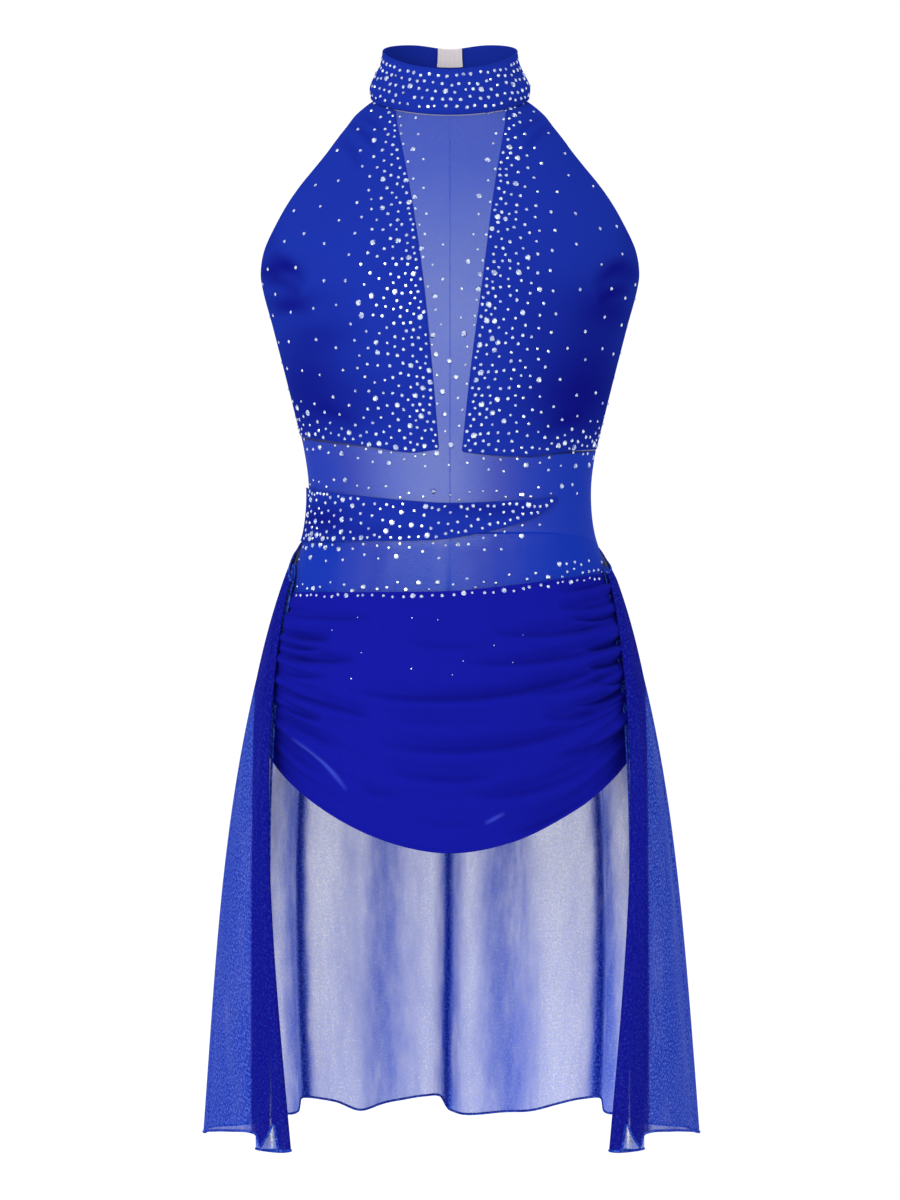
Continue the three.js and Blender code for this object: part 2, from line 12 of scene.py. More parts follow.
import bpy
import numpy as np
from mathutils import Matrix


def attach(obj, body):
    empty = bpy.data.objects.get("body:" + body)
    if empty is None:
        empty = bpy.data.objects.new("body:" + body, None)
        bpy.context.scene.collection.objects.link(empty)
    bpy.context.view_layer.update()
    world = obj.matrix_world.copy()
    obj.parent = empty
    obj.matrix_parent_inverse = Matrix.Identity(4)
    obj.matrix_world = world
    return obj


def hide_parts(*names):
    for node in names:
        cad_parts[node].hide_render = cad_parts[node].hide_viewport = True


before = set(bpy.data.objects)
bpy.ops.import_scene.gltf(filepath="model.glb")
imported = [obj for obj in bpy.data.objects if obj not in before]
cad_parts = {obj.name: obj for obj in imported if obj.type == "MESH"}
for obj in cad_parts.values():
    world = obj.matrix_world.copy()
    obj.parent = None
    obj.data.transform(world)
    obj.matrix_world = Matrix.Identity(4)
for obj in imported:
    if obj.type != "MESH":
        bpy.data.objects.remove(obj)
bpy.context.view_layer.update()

MM = 0.001
print("frame nodes:", len(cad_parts))

# %% [markdown]
# ## Tables and smooth curves
#
# A maker's pattern is a short list of measures, with a smooth line drawn through them. The same
# is done here: a table has named columns, and `along` reads it anywhere on a smooth curve. That
# keeps the shape in a few driving sizes, where a list of points would hide them.

# %% Reading a table


def table(names, rows):
    """A table as {column name: array}."""
    return dict(zip(names.split(), np.array(rows, float).T))


def along(rows, key, place, column):
    """One column at a place: cubic pieces through the rows, each slope taken between neighbours."""
    x, y = rows[key], rows[column]
    if x[0] > x[-1]:
        x, y = x[::-1], y[::-1]
    at = np.clip(place, x[0], x[-1])
    i = np.clip(np.searchsorted(x, at, side="right") - 1, 0, len(x) - 2)
    before, after = np.maximum(i - 1, 0), np.minimum(i + 2, len(x) - 1)
    span = x[i + 1] - x[i]
    start = (y[i + 1] - y[before]) / (x[i + 1] - x[before]) * span
    end = (y[after] - y[i]) / (x[after] - x[i]) * span
    t = (at - x[i]) / span
    level = y[i] + (y[i + 1] - y[i]) * t * t * (3 - 2 * t)
    return level + start * t * (1 - t) ** 2 - end * t * t * (1 - t)


def mix(a, b, t):
    return a + (b - a) * t


def ramp(value, low, high):
    """0 below low, 1 above high, and a soft S between."""
    t = np.clip((value - low) / (high - low), 0, 1)
    return t * t * (3 - 2 * t)


def bell(away, width):
    """1 at no distance, and exp(-(away / width)^2) further off."""
    return np.exp(-((away / width) ** 2))


# %% [markdown]
# ## The girths
#
# The garment's own measures from the neck to the hip: half its width, and how far it stands
# before and behind the side line. A round of the body is half an ellipse in front and half
# another behind, so a point is x = side sin(angle), y = -depth cos(angle).

# %% Girths and tilted edges
GIRTHS = table("z side front back", [
    (20, 60, 52, 50), (12, 62, 53, 52), (-2, 67, 55, 58), (-23, 90, 58, 68),
    (-45, 112, 70, 78), (-87, 142, 91, 92), (-128, 157, 109, 98), (-154, 158, 117, 98),
    (-196, 147.5, 122, 95), (-229, 139, 118, 92), (-263, 130.5, 109, 87), (-297, 122.5, 100, 82),
    (-330, 118.5, 92, 78), (-364, 121, 96, 84), (-397, 131, 103, 92), (-424, 138, 108, 98),
    (-465, 148, 114, 105), (-510, 154, 118, 109), (-630, 154, 113, 109),
])
COLLAR_FOOT = {"front": -23, "side": -2, "back": 12}
COLLAR_RIM = {"front": 15.5, "side": 38, "back": 50.5, "dip": 4, "dip_angle": 22}
SEAM = 0.3
KNIT = 1.2
SHEER = 1.0
WORDS = {-1: "left", 1: "right"}


def stack(x, y, z):
    return np.stack(np.broadcast_arrays(x, y, z), axis=-1)


def side_at(z):
    return along(GIRTHS, "z", z, "side")


def depth_at(rows, key, place, turn):
    """The front's depth where a turn faces forward, and the back's where it faces back."""
    return np.where(np.cos(turn) >= 0, along(rows, key, place, "front"), along(rows, key, place, "back"))


def girth(angle, z):
    """A point of the girths at an angle in degrees from the front: (side sin, -depth cos, z)."""
    turn = np.radians(angle)
    return stack(side_at(z) * np.sin(turn), -depth_at(GIRTHS, "z", z, turn) * np.cos(turn), z)


def tilted(edge, angle):
    """Height of an edge given at front, side and back: a tilt by cos(angle), a bow by sin squared."""
    turn = np.radians(angle)
    middle, tilt = (edge["front"] + edge["back"]) / 2, (edge["back"] - edge["front"]) / 2
    return middle - tilt * np.cos(turn) + (edge["side"] - middle) * np.sin(turn) ** 2


def angle_of(x, z):
    return np.degrees(np.arcsin(np.clip(x / side_at(z), -1, 1)))


def shifted(angle, length, z):
    """An angle moved along the girth by a length in millimetres."""
    turn = np.radians(angle)
    depth = depth_at(GIRTHS, "z", z, turn)
    return angle + np.degrees(length / np.hypot(side_at(z) * np.cos(turn), depth * np.sin(turn)))


print("chest, waist and hip half widths:", [round(float(side_at(z))) for z in (-154, -330, -465)])

# %% [markdown]
# ## From a grid of points to a mesh
#
# Each surface is an array of points with its columns running round the body and its rows running
# down. Neighbouring points make a quad, wound so that it faces out. Every mesh gets a UV map in
# metres of cloth, so that a weave keeps its real size however the panel bends.

# %% Mesh helpers


def unit(v):
    return v / np.maximum(np.linalg.norm(v, axis=-1, keepdims=True), 1e-9)


def normals(grid):
    """Outward normals of a grid: the cross product of its two central differences."""
    return unit(np.cross(np.gradient(grid, axis=1), np.gradient(grid, axis=0)))


def lifted(grid, out):
    """The grid moved out along its normals by a distance, which may vary over it."""
    return grid + normals(grid) * np.asarray(out)[..., None]


def quads(columns, rows, offset=0):
    """Corner numbers of the quads of a grid, as one array."""
    k = np.arange(columns * rows).reshape(columns, rows) + offset
    return np.stack([k[:-1, :-1], k[:-1, 1:], k[1:, 1:], k[1:, :-1]], -1).reshape(-1, 4)


def cloth_uv(grid):
    """Lengths along the cloth both ways, in metres: running sums of the grid's edges."""
    across = np.linalg.norm(np.diff(grid, axis=0), axis=-1)
    down = np.linalg.norm(np.diff(grid, axis=1), axis=-1)
    u = np.concatenate([np.zeros((1, grid.shape[1])), across.cumsum(0)])
    v = np.concatenate([np.zeros((grid.shape[0], 1)), down.cumsum(1)], axis=1)
    return np.stack([u - u[len(u) // 2], v], -1) * MM


def mesh_object(name, points, faces, uv=None, smooth=True, **values):
    """An object from points in millimetres and faces of equal size, with point attributes."""
    mesh = bpy.data.meshes.new(name)
    size = faces.shape[1]
    mesh.vertices.add(len(points))
    mesh.vertices.foreach_set("co", (points * MM).astype(np.float32).ravel())
    mesh.loops.add(faces.size)
    mesh.loops.foreach_set("vertex_index", faces.astype(np.int32).ravel())
    mesh.polygons.add(len(faces))
    mesh.polygons.foreach_set("loop_start", np.arange(0, faces.size, size, dtype=np.int32))
    mesh.update(calc_edges=True)
    mesh.polygons.foreach_set("use_smooth", np.full(len(faces), smooth))
    if uv is not None:
        layer = mesh.uv_layers.new(name="cloth")
        layer.data.foreach_set("uv", uv[faces.ravel()].astype(np.float32).ravel())
    for key, value in values.items():
        attribute = mesh.attributes.new(key, "FLOAT", "POINT")
        attribute.data.foreach_set("value", np.broadcast_to(value, len(points)).astype(np.float32))
    mesh.validate()
    made = bpy.data.objects.new(name, mesh)
    bpy.context.scene.collection.objects.link(made)
    return made


FINISHES = {}


def finish_piece(piece, slot, *nodes):
    """Gives a piece its slot's material and its body, and hides the solids that it stands for."""
    piece.data.materials.append(FINISHES[slot])
    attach(piece, "root")
    if nodes:
        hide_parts(*nodes)
    print(f"{piece.name}: {len(piece.data.polygons)} faces")


def sheet_object(name, grid, slot, keep=None, wall=0.0, **values):
    """A cloth surface in place of the solid of its name; keep picks its quads, wall thickens it."""
    columns, rows = grid.shape[:2]
    faces = quads(columns, rows)
    if keep is not None:
        faces = faces[keep.ravel()]
    used, faces = np.unique(faces, return_inverse=True)
    faces = faces.reshape(-1, 4)
    flat = {key: np.broadcast_to(value, (columns, rows)).ravel()[used] for key, value in values.items()}
    made = mesh_object(name, grid.reshape(-1, 3)[used], faces, cloth_uv(grid).reshape(-1, 2)[used], **flat)
    if wall:
        solid = made.modifiers.new("wall", "SOLIDIFY")
        solid.thickness = wall * MM
        solid.offset = 0
    finish_piece(made, slot, name)
    return made


FIRST_ROW, LAST_ROW = np.s_[:, 0], np.s_[:, -1]
HEM_TIP = 0.25


def hem_points(path, facing, width, thick, sides=10):
    """An oval profile carried along a path: point = path + width cos across + thick sin outwards."""
    run = unit(np.gradient(path, axis=0))
    out = unit(facing - run * np.sum(facing * run, axis=-1, keepdims=True))
    across = np.cross(out, run)
    phase = np.linspace(0, 2 * np.pi, sides, endpoint=False)
    size = np.ones((len(path), 1, 1)) / 2
    size[[0, -1]] *= HEM_TIP
    wide = across[:, None] * np.cos(phase)[None, :, None] * width
    deep = out[:, None] * np.sin(phase)[None, :, None] * thick
    return path[:, None] + (wide + deep) * size


def runs_of(grid, *edges):
    """The edges of a grid, each an index into it, as (path, facing) pairs for hem_object."""
    facing = normals(grid)
    return [(grid[edge], facing[edge]) for edge in edges]


def hem_object(name, runs, slot, width, thick, sides=10, plies=3.0, dye=0.85):
    """Several hems in one mesh: runs is a list of (path, facing), each closed at both ends."""
    points, faces, uvs, start = [], [], [], 0
    for path, facing in runs:
        rings = hem_points(path, facing, width, thick, sides)
        count = len(path)
        k = np.arange(count * sides).reshape(count, sides) + start
        k = np.concatenate([k, k[:, :1]], axis=1)
        faces.append(np.stack([k[:-1, :-1], k[1:, :-1], k[1:, 1:], k[:-1, 1:]], -1).reshape(-1, 4))
        half = np.arange(sides // 2 - 1)
        for end, flip in ((k[0], False), (k[-1], True)):
            cap = np.stack([end[half], end[half + 1], end[sides - 2 - half], end[sides - 1 - half]], -1)
            faces.append(cap[:, ::-1] if flip else cap)
        length = np.concatenate([[0], np.linalg.norm(np.diff(path, axis=0), axis=-1).cumsum()])
        u = np.broadcast_to(length[:, None], (count, sides))
        v = np.broadcast_to(np.linspace(0, width * 2, sides), (count, sides))
        uvs.append(np.stack([u, v], -1).reshape(-1, 2) * MM)
        points.append(rings.reshape(-1, 3))
        start += count * sides
    joined = (np.concatenate(parts) for parts in (points, faces, uvs))
    made = mesh_object(name, *joined, plies=plies, dye=dye)
    finish_piece(made, slot)
    return made


# %% [markdown]
# ## Finishes
#
# The cloths differ most in how much light they let through. The knit is opaque with a soft satin
# sheen; the mesh is an even net; the chiffon is a crepe that is sheer as one layer and goes dark
# where it gathers. Opacity is worked out as 1 - (1 - one layer) ^ layers, where a point attribute
# called plies says how many layers deep the cloth lies, so gathers close up as real ones do. A
# second attribute, dye, deepens the chiffon's colour where light has passed through it many times.

# %% Graphs of nodes
F, V3 = "NodeSocketFloat", "NodeSocketVector"


def group(name, inputs, outputs):
    """An empty node group with its graph, its inputs' sockets and its outputs' sockets."""
    made = bpy.data.node_groups.new(name, "ShaderNodeTree")
    for label, kind, value in inputs:
        socket = made.interface.new_socket(label, in_out="INPUT", socket_type=kind)
        if value is not None:
            socket.default_value = value
    for label in outputs:
        made.interface.new_socket(label, in_out="OUTPUT", socket_type=F)
    g = Graph(made)
    return made, g, g.node("NodeGroupInput").outputs, g.node("NodeGroupOutput").inputs


class Graph:
    """Short calls for adding and joining nodes."""

    def __init__(self, tree):
        self.tree = tree

    def node(self, kind, **settings):
        made = self.tree.nodes.new(kind)
        for key, value in settings.items():
            setattr(made, key, value)
        return made

    def link(self, source, target):
        self.tree.links.new(source, target)

    def fill(self, sockets, values):
        """Links each value that is a socket, and sets each that is a constant."""
        for socket, value in zip(sockets, values):
            if isinstance(value, bpy.types.NodeSocket):
                self.link(value, socket)
            elif value is not None:
                socket.default_value = value

    def settle(self, node, **values):
        """Fills a node's inputs by name, with _ for each space."""
        self.fill([node.inputs[key.replace("_", " ")] for key in values], values.values())
        return node

    def math(self, operation, *values, clamp=False):
        made = self.node("ShaderNodeMath", operation=operation, use_clamp=clamp)
        self.fill(made.inputs, values)
        return made.outputs[0]

    def times(self, *values, clamp=False):
        return self.math("MULTIPLY", *values, clamp=clamp)

    def plus(self, *values, clamp=False):
        return self.math("ADD", *values, clamp=clamp)

    def minus(self, *values, clamp=False):
        return self.math("SUBTRACT", *values, clamp=clamp)

    def blend(self, factor, first, second):
        """A colour mixed from first to second by a factor."""
        made = self.node("ShaderNodeMix", data_type="RGBA")
        self.fill((made.inputs[0], made.inputs[6], made.inputs[7]), (factor, first, second))
        return made.outputs[2]

    def attribute(self, name):
        return self.node("ShaderNodeAttribute", attribute_name=name).outputs["Fac"]

    def parts(self, vector):
        made = self.node("ShaderNodeSeparateXYZ")
        self.link(vector, made.inputs[0])
        return made.outputs

    def noise(self, vector, scale, detail=2.0, roughness=0.5):
        made = self.node("ShaderNodeTexNoise")
        self.settle(made, Vector=vector, Scale=scale, Detail=detail, Roughness=roughness)
        return made.outputs["Fac"]


# %% Groups that the finishes share
def make_ply_group():
    """Opacity of gathered cloth: 1 - (1 - one layer) ^ layers, where layers is never under 0.2."""
    tree, g, ins, out = group("cloth_plies", [("One layer", F, 0.5), ("Layers", F, 1.0)], ["Opacity"])
    clear = g.minus(1.0, ins["One layer"], clamp=True)
    layers = g.math("MAXIMUM", ins["Layers"], 0.2)
    g.link(g.minus(1.0, g.math("POWER", clear, layers), clamp=True), out["Opacity"])
    return tree


def make_loop_group():
    """Knit loops: rows of small arches, sin(u) times a bow of v, as a height from 0 to 1."""
    tree, g, ins, out = group("knit_loops", [("Cloth", V3, None), ("Pitch", F, 0.0006)], ["Height"])
    u, v, _ = g.parts(ins["Cloth"])
    turns = g.math("DIVIDE", 2 * math.pi, ins["Pitch"])
    bow = g.times(g.math("SINE", g.times(v, turns)), 0.6)
    wale = g.math("SINE", g.plus(g.times(u, turns), bow))
    g.link(g.math("MULTIPLY_ADD", wale, 0.5, 0.5), out["Height"])
    return tree


def make_net_group():
    """A diamond net: the product of two slanted waves, 1 on the threads and 0 in the holes."""
    tree, g, ins, out = group("net", [("Cloth", V3, None), ("Pitch", F, 0.0012)], ["Thread"])
    turns = g.math("DIVIDE", math.pi, ins["Pitch"])
    u, v = (g.times(part, turns) for part in list(g.parts(ins["Cloth"]))[:2])
    slants = [g.math("ABSOLUTE", g.math("SINE", g.math(sign, u, v))) for sign in ("ADD", "SUBTRACT")]
    g.link(g.minus(1.0, g.times(*slants), clamp=True), out["Thread"])
    return tree


def make_crepe_group():
    """Crepe: a fine pebbled grain, and slow clouds drawn out along the fall, both from 0 to 1."""
    tree, g, ins, out = group("crepe", [("Cloth", V3, None)], ["Grain", "Cloud"])
    g.link(g.noise(ins["Cloth"], 480.0, 2.0, 0.7), out["Grain"])
    drawn = g.node("ShaderNodeMapping")
    g.settle(drawn, Vector=ins["Cloth"], Scale=(1.0, 0.22, 1.0), Rotation=(0, 0, 0.12))
    g.link(g.noise(drawn.outputs["Vector"], 42.0, 6.0, 0.72), out["Cloud"])
    return tree


PLIES = make_ply_group()
LOOPS = make_loop_group()
NET = make_net_group()
CREPE = make_crepe_group()
print("node groups:", [tree.name for tree in (PLIES, LOOPS, NET, CREPE)])


# %% Starting a material
def start_material(name, roughness, sheen=0.0, tint=(1, 1, 1)):
    """A material with its Principled shader, and the cloth's UV map as a vector."""
    material = bpy.data.materials.new(name)
    material.use_nodes = True
    g = Graph(material.node_tree)
    shader = material.node_tree.nodes["Principled BSDF"]
    g.settle(shader, Roughness=roughness, Sheen_Weight=sheen, Sheen_Roughness=0.35, Sheen_Tint=(*tint, 1),
             Specular_IOR_Level=0.0)
    cloth = g.node("ShaderNodeUVMap", uv_map="cloth").outputs["UV"]
    return material, g, shader, cloth


def use(g, tree, **inputs):
    """One of the shared groups, with its inputs filled in."""
    return g.settle(g.node("ShaderNodeGroup", node_tree=tree), **inputs)


def bump(g, shader, height, distance, strength=0.5):
    made = g.settle(g.node("ShaderNodeBump"), Height=height, Distance=distance, Strength=strength)
    g.link(made.outputs["Normal"], shader.inputs["Normal"])


# %% [markdown]
# ### The knit
#
# A nylon and elastane jersey, dyed royal blue. Its loops are under a millimetre, so they are a
# bump on the cloth's own UV map; the satin look is the shader's sheen with a blue tint, and a slow
# noise varies the dye a little so that a big panel isn't one flat colour. Where the knit turns in
# at its creases and away from the light at its sides, a point attribute called shade darkens it,
# which is painted shade.

# %% Knit material
KNIT_BLUE = (0.0090, 0.0265, 0.290, 1)
KNIT_DEEP = (0.0065, 0.0165, 0.240, 1)
# The colour of painted shade, which the shade attribute mixes in.
KNIT_SHADED = (0.0035, 0.0045, 0.155, 1)


def make_knit():
    material, g, shader, cloth = start_material("stretch_knit", 0.62, 0.04, (0.15, 0.35, 1.0))
    loops = use(g, LOOPS, Cloth=cloth, Pitch=0.0007).outputs["Height"]
    slow = g.noise(cloth, 14.0, 3.0)
    dyed = g.blend(g.math("MULTIPLY_ADD", slow, 0.55, 0.12), KNIT_BLUE, KNIT_DEEP)
    # Painted shade: the shade attribute darkens the dyed knit.
    g.link(g.blend(g.attribute("shade"), dyed, KNIT_SHADED), shader.inputs["Base Color"])
    bump(g, shader, loops, 0.00005, 0.35)
    return material


FINISHES["knit"] = make_knit()

# %% [markdown]
# ### The mesh and the chiffon
#
# Both are single surfaces whose opacity comes from nodes: net threads for the mesh, crepe grain
# for the chiffon. A solid wall with a glass-like shader would be slower and would darken twice.

# %% Sheer materials
MESH_BLUE = (0.012, 0.062, 0.45, 1)
MESH_DEEP = (0.004, 0.018, 0.300, 1)
CHIFFON_GLINT = (0.110, 0.190, 0.60, 1)
CHIFFON_BLUE = (0.012, 0.070, 0.60, 1)
CHIFFON_DEEP = (0.0040, 0.0042, 0.180, 1)


def make_mesh():
    material, g, shader, cloth = start_material("power_mesh", 0.6, 0.15, (0.4, 0.5, 1.0))
    thread = use(g, NET, Cloth=cloth, Pitch=0.0013).outputs["Thread"]
    slow = g.noise(cloth, 18.0, 2.0)
    single = g.math("MULTIPLY_ADD", thread, 0.22, 0.47)
    layers = g.attribute("plies")
    uneven = g.plus(layers, g.times(g.minus(slow, 0.5), 0.3))
    opacity = use(g, PLIES, One_layer=single, Layers=uneven).outputs["Opacity"]
    # Layers deepen the colour; on the right of the front, part of them is painted shade.
    deeper = g.times(g.minus(layers, 1.0, clamp=True), 0.8, clamp=True)
    g.link(g.blend(deeper, MESH_BLUE, MESH_DEEP), shader.inputs["Base Color"])
    g.link(opacity, shader.inputs["Alpha"])
    bump(g, shader, thread, 0.0001, 0.3)
    return material


def make_chiffon():
    """Sheer crepe: grain and clouds vary its layers, dye its colour, and bright grains are painted glints.
    """
    material, g, shader, cloth = start_material("chiffon", 0.75, 0.05, (0.35, 0.45, 1.0))
    crepe = use(g, CREPE, Cloth=cloth)
    grain = g.minus(crepe.outputs["Grain"], 0.5)
    cloud = g.minus(crepe.outputs["Cloud"], 0.5)
    layers, dye = g.attribute("plies"), g.attribute("dye")
    rough = g.plus(g.times(g.parts(cloth)[1], 3.0), 0.5)
    extra = g.math("MAXIMUM", g.minus(layers, 0.85), 0.0)
    mottle = g.times(cloud, g.plus(g.times(extra, 3.0), 0.5))
    uneven = g.plus(g.plus(layers, g.times(grain, rough)), mottle)
    opacity = use(g, PLIES, One_layer=0.59, Layers=uneven).outputs["Opacity"]
    middle = g.times(dye, g.minus(1.1, dye))
    spots = g.times(g.times(grain, middle), -5.5)
    depth = g.plus(g.plus(dye, g.times(cloud, 0.2)), spots, clamp=True)
    colour = g.blend(depth, CHIFFON_BLUE, CHIFFON_DEEP)
    # Painted highlight: pale specks on the grain where the cloth is thin.
    thin = g.minus(1.05, dye, clamp=True)
    lit = g.times(g.times(grain, 9.0, clamp=True), thin)
    g.link(g.blend(lit, colour, CHIFFON_GLINT), shader.inputs["Base Color"])
    g.link(opacity, shader.inputs["Alpha"])
    bump(g, shader, crepe.outputs["Grain"], 0.0003, 0.5)
    return material


FINISHES["mesh_net"] = make_mesh()
FINISHES["chiffon"] = make_chiffon()
print("materials:", [m.name for m in bpy.data.materials][-3:])

# %% [markdown]
# ## Creases
#
# Cloth that is filled out still shows drag lines and soft troughs. Each one is placed as a bowed
# line with a depth and a width, in a table that says where it runs. The height at a point is minus
# depth times a bell curve of the distance from the line, faded towards the line's ends.

# %% Crease field
CREASE_NAMES = "from_x from_z to_x to_z bow depth width"


def crease_lines(x, z, rows):
    """For each line: the distance off it, its fade sin(pi t)^0.6 to the ends, its depth and width."""
    for fx, fz, tx, tz, bow, depth, width in zip(*rows.values()):
        run = math.hypot(tx - fx, tz - fz)
        ux, uz = (tx - fx) / run, (tz - fz) / run
        t = ((x - fx) * ux + (z - fz) * uz) / run
        inside = np.clip(t, 0, 1)
        off = (x - fx) * -uz + (z - fz) * ux - bow * 4 * inside * (1 - inside)
        yield off, np.sin(np.pi * inside) ** 0.6 * (t > 0) * (t < 1), depth, width


def crease_height(x, z, rows):
    """Sum over the lines of -depth fade exp(-(off / width)^2); a ridge has a minus depth."""
    height = np.zeros(np.broadcast(x, z).shape)
    for off, fade, depth, width in crease_lines(x, z, rows):
        height -= depth * fade * bell(off, width)
    return height


# %% [markdown]
# ## The stand collar
#
# A doubled band of knit, higher behind than in front, tilted like a real neck. It is one surface
# round the neck, open at the centre back. Its rim is folded, so a soft roll is carried along it,
# and a seam line runs round its foot.

# %% Collar
COLLAR_RINGS = table("down side front back", [
    (0, 56, 50, 47), (0.3, 58.5, 52, 48.5), (0.75, 66.8, 57.5, 52), (1, 65, 57, 51.5),
])
COLLAR_GAP = 1.0
COLLAR_BACK = 47
NECK_CLEAR = 0.45
NECK_DRAW = 10.0
NECK_CORNER = 0.985


def collar_foot(angle):
    return tilted(COLLAR_FOOT, angle)


def collar_rim(angle):
    """The rim's tilted line less a dip, a bell of the angle from the centre back."""
    from_back = 180 - np.abs(np.where(angle > 180, angle - 360, angle))
    return tilted(COLLAR_RIM, angle) - COLLAR_RIM["dip"] * bell(from_back, COLLAR_RIM["dip_angle"])


def collar_surface(angle, down):
    """A ring of the neck at each height: (side sin, -depth cos, mix(rim, foot, down))."""
    turn = np.radians(angle)
    depth = depth_at(COLLAR_RINGS, "down", down, turn)
    side = along(COLLAR_RINGS, "down", down, "side")
    z = mix(collar_rim(angle), collar_foot(angle) + SEAM, down)
    return stack(side * np.sin(turn), -depth * np.cos(turn), z)


COLLAR_CREASES = table(CREASE_NAMES, [
    (-58, 20, -20, 4, -2, 0.7, 2.5), (22, 3, 60, 22, -2, 0.6, 2.5), (-50, 6, -8, -9, -2, 0.6, 2.2),
    (12, -10, 52, 4, -2, 0.6, 2.2),
])


def make_collar():
    back_gap = np.degrees(COLLAR_GAP / 2 / COLLAR_BACK)
    angle = np.linspace(-180 + back_gap, 180 - back_gap, 260)[:, None]
    down = np.linspace(0, 1, 28)[None]
    grid = collar_surface(angle, down)
    crease = crease_height(grid[..., 0], grid[..., 2], COLLAR_CREASES) * (np.cos(np.radians(angle)) > 0)
    band = sheet_object("collar", lifted(grid, crease), "knit", wall=KNIT)
    facing = normals(grid)
    rim = lifted(grid, 0.1)[:, 0]
    foot = lifted(grid, KNIT / 2)[:, -2]
    rolls = hem_object("collar_rolls", [(rim, facing[:, 0]), (foot, facing[:, -2])], "knit", 1.7, 1.7)
    print("collar rim, front and back:", [round(float(collar_rim(np.array(a)))) for a in (0.0, 180.0)])


make_collar()

# %% [markdown]
# ## The label and the fastening tab
#
# A folded off-white tape is sewn inside the collar's back and shows between its ends. It carries
# no print here. The tab over the opening holds the collar shut. Both are small patches of the
# collar's own surface, moved in and out.

# %% Label and tab
LABEL = {"half": 8.8, "top": -0.02, "bottom": 0.42, "thick": 1.0}
TAB = {"half": 9.0, "top": 0.3, "bottom": 0.75}
LAP = 0.6
TAPE_PALE = (0.74, 0.69, 0.68, 1)
TAPE_DARK = (0.56, 0.52, 0.53, 1)


def make_tape():
    material, g, shader, cloth = start_material("label_tape", 0.8, 0.2)
    weave = use(g, LOOPS, Cloth=cloth, Pitch=0.0011).outputs["Height"]
    g.link(g.blend(weave, TAPE_PALE, TAPE_DARK), shader.inputs["Base Color"])
    bump(g, shader, weave, 0.0001, 0.6)
    return material


def collar_patch(name, patch, lift, wall, slot):
    """A patch of the collar's surface round the centre back, moved out by a lift."""
    reach = np.degrees(patch["half"] / COLLAR_BACK)
    angle = np.linspace(180 - reach, 180 + reach, 40)[:, None]
    down = np.linspace(patch["top"], patch["bottom"], 24)[None]
    grid = lifted(collar_surface(angle, down), np.full((40, 24), lift))
    made = sheet_object(name, grid, slot, wall=wall)


FINISHES["label_tape"] = make_tape()
label_lift = -(KNIT + LABEL["thick"]) / 2 - LAP
collar_patch("neck_label", LABEL, label_lift, LABEL["thick"], "label_tape")
collar_patch("collar_tab", TAB, KNIT + LAP, KNIT, "knit")

# %% [markdown]
# ## Edges of the panels
#
# The armhole, the V seams, the halter's lower edge and the sash are lines on the girths, given as
# angles or heights. A panel is the surface between two edge lines and a top and a bottom; where an
# edge depends on the height and the height on the edge, a few passes of substitution settle both.

# %% Edge lines and panels
ARMHOLE = table("z front back", [
    (12, 84, 80), (-2, 75, 71), (-28, 63, 59), (-45, 60, 56), (-62, 61, 57), (-78, 64, 60),
    (-95, 67.5, 64.5), (-112, 71.5, 69), (-128, 77, 75.5), (-145, 82.5, 82), (-158, 90, 90),
])
V_SEAM = table("z left right", [
    (-16, -46.7, 47.9), (-90, -32.5, 36), (-164, -21.8, 26.6), (-232, -15, 17.5), (-305, -8.9, 9.7),
])
HALTER_HEM = table("angle z", [
    (-90, -283.5), (-51, -291.7), (-31, -297.5), (-14.7, -302.3), (-4, -300), (4.7, -302),
    (19, -304.7), (34.4, -304), (54, -299.5), (90, -295),
])
ARMHOLE_FOOT = -158
MESH_FOOT = -424
SIDE_SEAM = 90
KNIT_ROLL = (1.3, 1.4)


def top_under_collar(angle):
    return collar_foot(angle) - NECK_CLEAR


def halter_hem(angle):
    return along(HALTER_HEM, "angle", angle, "z")


def armhole(z, column):
    return np.minimum(along(ARMHOLE, "z", z, column), SIDE_SEAM)


def seated(angle, z):
    """Girth points that draw in to the collar's foot over their last millimetres, keeping their x."""
    point = girth(angle, z)
    near = ramp(z - collar_foot(angle), -NECK_DRAW, -NECK_CLEAR)[..., None]
    share = np.clip(np.abs(point[..., 0]) / COLLAR_RINGS["side"][-1], 0, NECK_CORNER)
    turn = np.degrees(np.arcsin(share))
    turn = np.sign(point[..., 0]) * np.where(point[..., 1] < 0, turn, 180 - turn)
    seat = collar_surface(turn, np.ones_like(turn))
    seat[..., 2] -= SEAM + NECK_CLEAR
    return mix(point, seat, near)


def level(value):
    """An edge that stays at one angle or one height."""
    return lambda place: value + 0 * place


def edge_angle(edge, top, bottom, down):
    """The edge's angle a share of the way down, settled by substitution."""
    angle = edge((top(0) + bottom(0)) / 2 + 0 * down)
    for _ in range(8):
        angle = edge(mix(top(angle), bottom(angle), down))
    return angle


def panel(columns, rows, left, right, top, bottom):
    """Angles and heights of a panel's grid: angle = mix(left, right), z = mix(top, bottom)."""
    down = np.linspace(0, 1, rows)[None]
    across = np.linspace(0, 1, columns)[:, None]
    angle = mix(edge_angle(left, top, bottom, down), edge_angle(right, top, bottom, down), across)
    return angle, mix(top(angle), bottom(angle), down)
